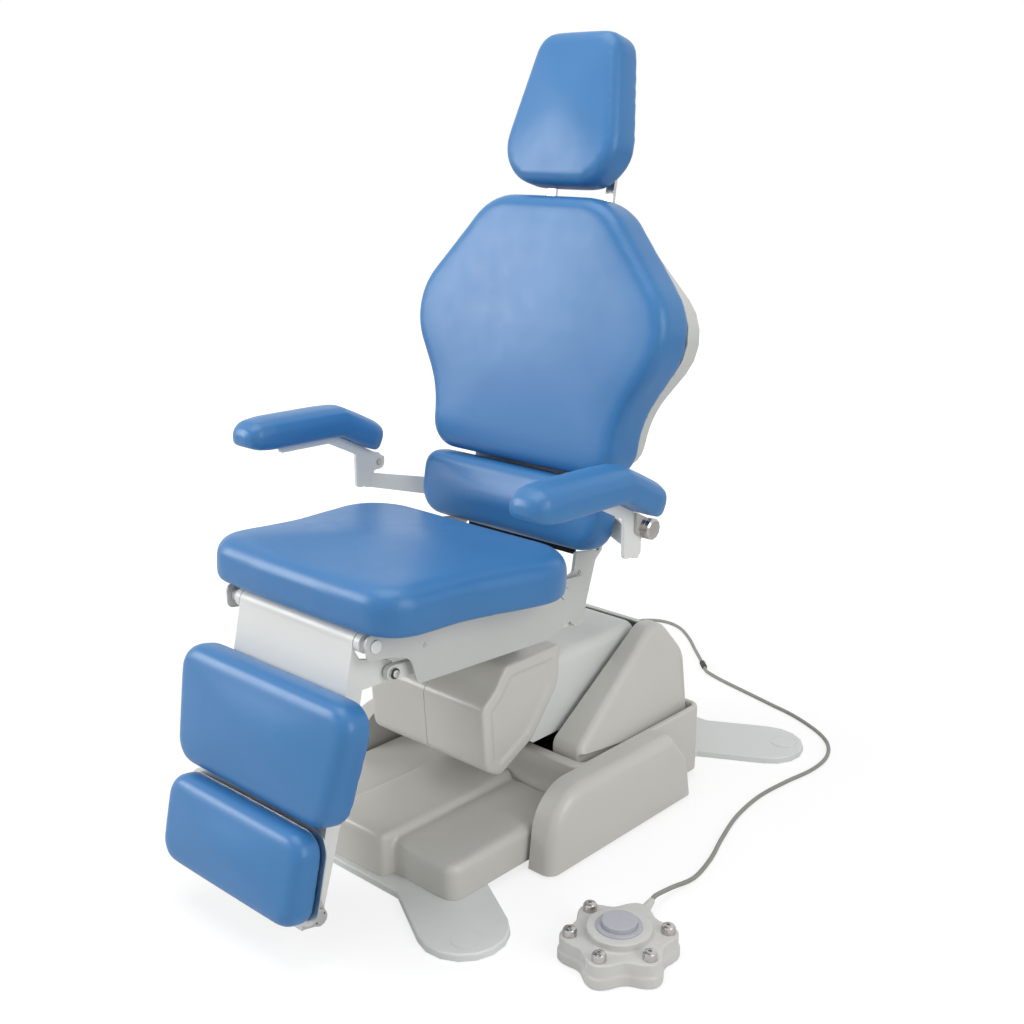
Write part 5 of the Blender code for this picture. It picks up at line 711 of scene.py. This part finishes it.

# Painted shade: a thin matt black plate across the back's underside, behind the gap over the seat,
# which darkens that gap as its shade would. It moves with the backrest.
# Nearly black and very rough, so that it reads as the shade in the gap.
gap_shade_black = finish("gap_shade_black", (0.012, 0.012, 0.013), cloud=0.2, rough=(0.75, 0.9), patch=0.004, grain=0.0006,
                      bump=0.3)
up_back, out_back = Vector(back_up), Vector(back_out)
back_foot = Vector((0.0, -0.037, 0.581))
gap_shade_half, gap_shade_low, gap_shade_high, gap_shade_behind, gap_shade_thick = 0.118, -0.130, -0.106, 0.049, 0.0015
gap_shade_line = rounded_line([(-gap_shade_half, gap_shade_low, 0.006), (gap_shade_half, gap_shade_low, 0.006), (gap_shade_half, gap_shade_high, 0.0),
                          (-gap_shade_half, gap_shade_high, 0.0)], 4)
gap_shade_plate = flat_piece("gap_shade_plate", [Vector((u, 0.0, 0.0)) + back_foot + up_back * s - out_back * gap_shade_behind
                                       for u, s in gap_shade_line])
bpy.ops.mesh.extrude_region_move(TRANSFORM_OT_translate={"value": tuple(out_back * -gap_shade_thick)})
done(gap_shade_plate, gap_shade_black, "backrest", "")

# Headrest: a black plastic guide in the back shell, two flat steel posts in it,
# and a tilting plate that carries a small pad of the same vinyl.
dress("headrest_guide", black_plastic, 0.001)
dress("headrest_stem", bright_steel, 0.0008)
dress("headrest_plate", grey_paint, 0.0008)
head_up, head_out = leaning(16)
upholster("headrest_pad", "headrest", head_up, head_out,
          [(0.076, 0.0, 0.060), (0.119, 0.046, 0.060), (0.078, 0.238, 0.036)])

# Armrests: bent white plates on the backrest, chrome-capped hinges
# and long foam pads with a bend at the heel, under the same vinyl.
chrome = finish("chrome", (0.52, 0.50, 0.48), cloud=0.06, cloud_size=0.02, rough=(0.10, 0.22), patch=0.008,
                grain=0.0004, bump=0.02, metal=1.0)
white_paint = finish("white_paint", (0.720, 0.726, 0.700), cloud=0.02, rough=(0.28, 0.38), grain=0.0010, bump=0.07)
dress("armrest_bracket_left armrest_bracket_right", white_paint, 0.0008)
dress("armrest_hinge_left armrest_hinge_right", chrome, 0.0015)


def copy_of(name, title):
    """A free copy of a CAD node's mesh with its loose triangles joined."""
    made = bpy.data.objects.new(title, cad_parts[name].data.copy())
    scene.collection.objects.link(made)
    bpy.ops.object.select_all(action="DESELECT")
    bpy.context.view_layer.objects.active = made
    made.select_set(True)
    made.data.materials.clear()
    bpy.ops.object.mode_set(mode="EDIT")
    bpy.ops.mesh.select_all(action="SELECT")
    bpy.ops.mesh.customdata_custom_splitnormals_clear()
    bpy.ops.mesh.remove_doubles(threshold=0.00001)
    bpy.ops.object.mode_set(mode="OBJECT")
    return made


for end in ("left", "right"):
    pad = copy_of("armrest_pad_" + end, "armrest_pad_" + end + "_vinyl")
    even_skin(pad, net_size=0.004, passes=7)
    stretch_over(pad, "armrest_pad_" + end, "armrest_" + end, (0.0, 0.0, -1.0), swell=0.002)

# Legrest: a hinge tube with welded collars, a folded white plate and one pad.
# The white rod below the seat ties it to the backrest.
dress("legrest_hinge_tube legrest_plate link_rod", white_paint, 0.0008)
dress("link_rod_pin", bright_steel, 0.0006)
lever_y, lever_z, ring_x, bolt_x = -0.422, 0.377, 0.1412, 0.1418
turned_head("lever_ring", (ring_x, lever_y, lever_z), (1, 0, 0), radius=0.0078, high=0.0008, socket=0.0,
            material=black_plastic, body="legrest", rim=0.05)
turned_head("lever_bolt", (bolt_x, lever_y, lever_z), (1, 0, 0), radius=0.0056, high=0.0022, socket=0.0026,
            material=bright_steel, body="legrest")
leg_up, leg_out = leaning(13)
leg_down = tuple(-part for part in leg_up)
upholster("leg_pad", "legrest", leg_down, leg_out, [(0.1945, 0.0, 0.038), (0.170, 0.178, 0.040)], edge=0.020,
          proud=0.008)

# Footrest: bare stainless sheet that folds out on two pivots with flat round caps, and its pad.
# The sheet is brushed along its length, and each cap's two small pin-key holes are black discs: painted shade.
brushed_sheet = finish("brushed_sheet", (0.58, 0.58, 0.57), cloud=0.06, cloud_size=0.04, rough=(0.26, 0.40), patch=0.01,
                       grain=0.0006, bump=0.08, metal=1.0, along=(0.08, 1.0, 1.0))
dress("footrest_bracket", brushed_sheet, 0.0006)
dress("footrest_pivot_cap_left footrest_pivot_cap_right", brushed_sheet, 0.0008)
down_leg, out_leg = Vector(leg_down), Vector(leg_out)
pad_points = points_of(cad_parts["foot_pad"].data)
pad_along = pad_points @ numpy.array(down_leg)
pad_back = (pad_points @ numpy.array(out_leg)).min()
sheet_half, sheet_gap, sheet_thick = 0.1575, 0.0004, 0.002
sheet_first, sheet_last = pad_along.min() - 0.003, pad_along.max() + 0.001
sheet_line = rounded_line([(-sheet_half, sheet_first, 0.034), (sheet_half, sheet_first, 0.034),
                           (sheet_half, sheet_last, 0.028), (-sheet_half, sheet_last, 0.028)], 8)
foot_sheet = flat_piece("footrest_sheet", [Vector((u, 0.0, 0.0)) + down_leg * s + out_leg * (pad_back - sheet_gap)
                                           for u, s in sheet_line])
bpy.ops.mesh.extrude_region_move(TRANSFORM_OT_translate={"value": tuple(out_leg * -sheet_thick)})
done(foot_sheet, brushed_sheet, "footrest", "")
hinge_x, hinge_y, hinge_z, hole_ring = 0.1352, -0.5653, 0.0593, 0.0085
for end, side in (("left", 1), ("right", -1)):
    # Black discs where the holes are: painted shade for their hollows, not cut holes.
    for number, angle in enumerate((35, 215), 1):
        turn = math.radians(angle)
        spot = (side * hinge_x, hinge_y + hole_ring * math.cos(turn), hinge_z + hole_ring * math.sin(turn))
        turned_head("cap_hole_shade_" + end + "_" + str(number), spot, (side, 0, 0), radius=0.0014, high=0.0003, socket=0.0,
                    material=black_plastic, body="footrest", rim=0.05)
upholster("foot_pad", "footrest", leg_down, leg_out, [(0.155, 0.0, 0.034), (0.153, 0.134, 0.034)], edge=0.019,
          proud=0.008)

# Foot pedal: an off-white six-lobed moulding with a raised ring, a grey key in its middle
# and five chrome stud keys. The cable leaves it through a soft sleeve.
pedal_plastic = finish("pedal_plastic", (0.580, 0.575, 0.550), cloud=0.02, rough=(0.26, 0.36), grain=0.0006, bump=0.05)
disc_grey = finish("disc_grey", (0.430, 0.432, 0.475), cloud=0.03, rough=(0.34, 0.44), grain=0.0006, bump=0.06)
pedal_x, pedal_y, pedal_reach, pedal_wave, pedal_turn = 0.437, -0.290, 0.077, 0.0085, math.radians(45)


def pedal_outline(scale):
    """The wavy outline with six lobes, seen from above."""
    line = []
    for k in range(120):
        turn = math.radians(3 * k)
        reach = (pedal_reach + pedal_wave * math.cos(6 * (turn - pedal_turn))) * scale
        line.append((pedal_x + reach * math.cos(turn), pedal_y + reach * math.sin(turn)))
    return line


def stood_up(title, outline, low, high):
    """An outline seen from above, drawn up from one height to another."""
    part = flat_piece(title, [(x, y, low) for x, y in outline])
    bpy.ops.mesh.extrude_region_move(TRANSFORM_OT_translate={"value": (0.0, 0.0, high - low)})
    bpy.ops.mesh.select_all(action="SELECT")
    bpy.ops.mesh.normals_make_consistent(inside=False)
    bpy.ops.object.mode_set(mode="OBJECT")
    return part


pedal_foot, collar_radius = 0.0008, 0.046
housing = stood_up("pedal_moulding", pedal_outline(0.995), low=0.0, high=0.016)
upper = stood_up("pedal_upper", pedal_outline(0.965), low=0.004, high=0.0362)
circle = [(pedal_x + collar_radius * math.cos(math.radians(5 * k)),
           pedal_y + collar_radius * math.sin(math.radians(5 * k))) for k in range(72)]
collar = stood_up("pedal_collar", circle, low=0.010, high=0.0482)
join(housing, upper, collar)
even_skin(housing, net_size=0.0015, passes=9)
cut(housing, (0.0, 0.0, pedal_foot), upwards)
done(housing, pedal_plastic, "base", "pedal_housing", 60)
dress("pedal_strain_relief", pedal_plastic, 0.0012)
disc_foot, disc_high = 0.0458, 0.0040
disc = turned_head("pedal_key", (pedal_x, pedal_y, disc_foot), upwards, radius=0.0325, high=disc_high, socket=0.0,
                   material=disc_grey, body="disc_key", rim=0.03)
start_edit(disc)
pick_faces(disc, lambda middle, normal: normal.z > 0.99 and middle.z > disc_foot + disc_high)
step_in((0.0060, 0.0), (0.0004, -0.0008), (0.0004, 0.0072), (0.0012, 0.0008))
done(disc, disc_grey, "disc_key", "pedal_disc")
stud_foot, stud_high = 0.0345, 0.0095
for number in range(1, 6):
    button, key = "pedal_button_" + str(number), "stud_key_" + str(number)
    flat_points = points_of(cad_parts[button].data)[:, :2]
    key_x, key_y = (flat_points.max(axis=0) + flat_points.min(axis=0)) / 2
    stud = turned_head("stud_" + str(number), (key_x, key_y, stud_foot), upwards, radius=0.0100, high=stud_high,
                       socket=0.0, material=chrome, body=key, rim=0.16)
    start_edit(stud)
    pick_faces(stud, lambda middle, normal: normal.z > 0.99 and middle.z > stud_foot + stud_high)
    step_in((0.0036, 0.0008), (0.0018, 0.0002), (0.0003, -0.0026))
    done(stud, chrome, key, button, 40)

# Cable: 7 mm grey lead from the pedal round the chair's left side to a black joint on the floor
# behind it, and from there in one loose loop to the gland in the rear of the tray.
dress("cable_joint cable_gland", black_plastic, 0.001)
cable_grey = finish("cable_grey", (0.262, 0.262, 0.230), cloud=0.06, cloud_size=0.03, rough=(0.42, 0.54), patch=0.008,
                    grain=0.0006, bump=0.08)
cable_thick, lying, straight = 0.007, 0.0040, 0.020


def smooth_route(points, step=0.012):
    """An even curve through the route's points."""
    ends = [points[0] * 2 - points[1]] + points + [points[-1] * 2 - points[-2]]
    line = []
    for a, b, c, d in zip(ends, ends[1:], ends[2:], ends[3:]):
        count = max(2, round((c - b).length / step))
        for k in range(count):
            t = k / count
            square = (2 * a - 5 * b + 4 * c - d) * t ** 2
            cube = (3 * b - a - 3 * c + d) * t ** 3
            line.append(0.5 * (2 * b + (c - a) * t + square + cube))
    return line + [points[-1]]


def lay_cable(name, route, stands_for):
    """One round lead along its route."""
    line = smooth_route(route)
    lead = bpy.data.curves.new(name, "CURVE")
    lead.dimensions = "3D"
    lead.bevel_depth = cable_thick / 2
    lead.bevel_resolution = 4
    lead.use_fill_caps = True
    run = lead.splines.new("POLY")
    run.points.add(len(line) - 1)
    for point, place in zip(run.points, line):
        point.co = (*place, 1.0)
    run.use_smooth = True
    laid = bpy.data.objects.new(name, lead)
    scene.collection.objects.link(laid)
    lead.materials.append(cable_grey)
    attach(laid, "base")
    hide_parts(stands_for)


relief_way = Vector((-0.258819, 0.965926, 0.0))
relief_tip = Vector((0.405269, -0.171578, 0.018))
joint_middle = Vector((-0.056, 0.628, 0.0063))
joint_way = Vector((-0.72, 0.69, 0.0)).normalized()
joint_reach = 0.0153
joint_near = joint_middle - joint_way * joint_reach
joint_far = joint_middle + joint_way * joint_reach
floor_run = [(0.403, -0.062), (0.391, 0.0), (0.368, 0.067), (0.347, 0.142), (0.338, 0.223), (0.344, 0.298),
             (0.354, 0.366), (0.350, 0.424), (0.328, 0.472), (0.288, 0.508), (0.217, 0.541), (0.150, 0.558),
             (0.085, 0.574), (0.015, 0.591)]
pedal_route = [relief_tip, relief_tip + relief_way * 0.014, Vector((0.399, -0.112, 0.0095))]
pedal_route += [Vector((x, y, lying)) for x, y in floor_run]
pedal_route += [joint_near - joint_way * straight, joint_near]
lay_cable("pedal_lead", pedal_route, "pedal_cable")
loop_run = [(-0.118, 0.688), (-0.172, 0.739), (-0.225, 0.776), (-0.272, 0.783), (-0.310, 0.759), (-0.326, 0.712),
            (-0.312, 0.660), (-0.272, 0.613), (-0.218, 0.570), (-0.168, 0.520)]
chair_route = [joint_far, joint_far + joint_way * straight]
chair_route += [Vector((x, y, lying)) for x, y in loop_run]
chair_route += [Vector(p) for p in ((-0.130, 0.468, 0.005), (-0.110, 0.425, 0.013), (-0.102, 0.380, 0.0205),
                                    (-0.100, 0.335, 0.031), (-0.100, 0.277, 0.045), (-0.100, 0.2616, 0.045))]
lay_cable("base_lead", chair_route, "chair_lead")
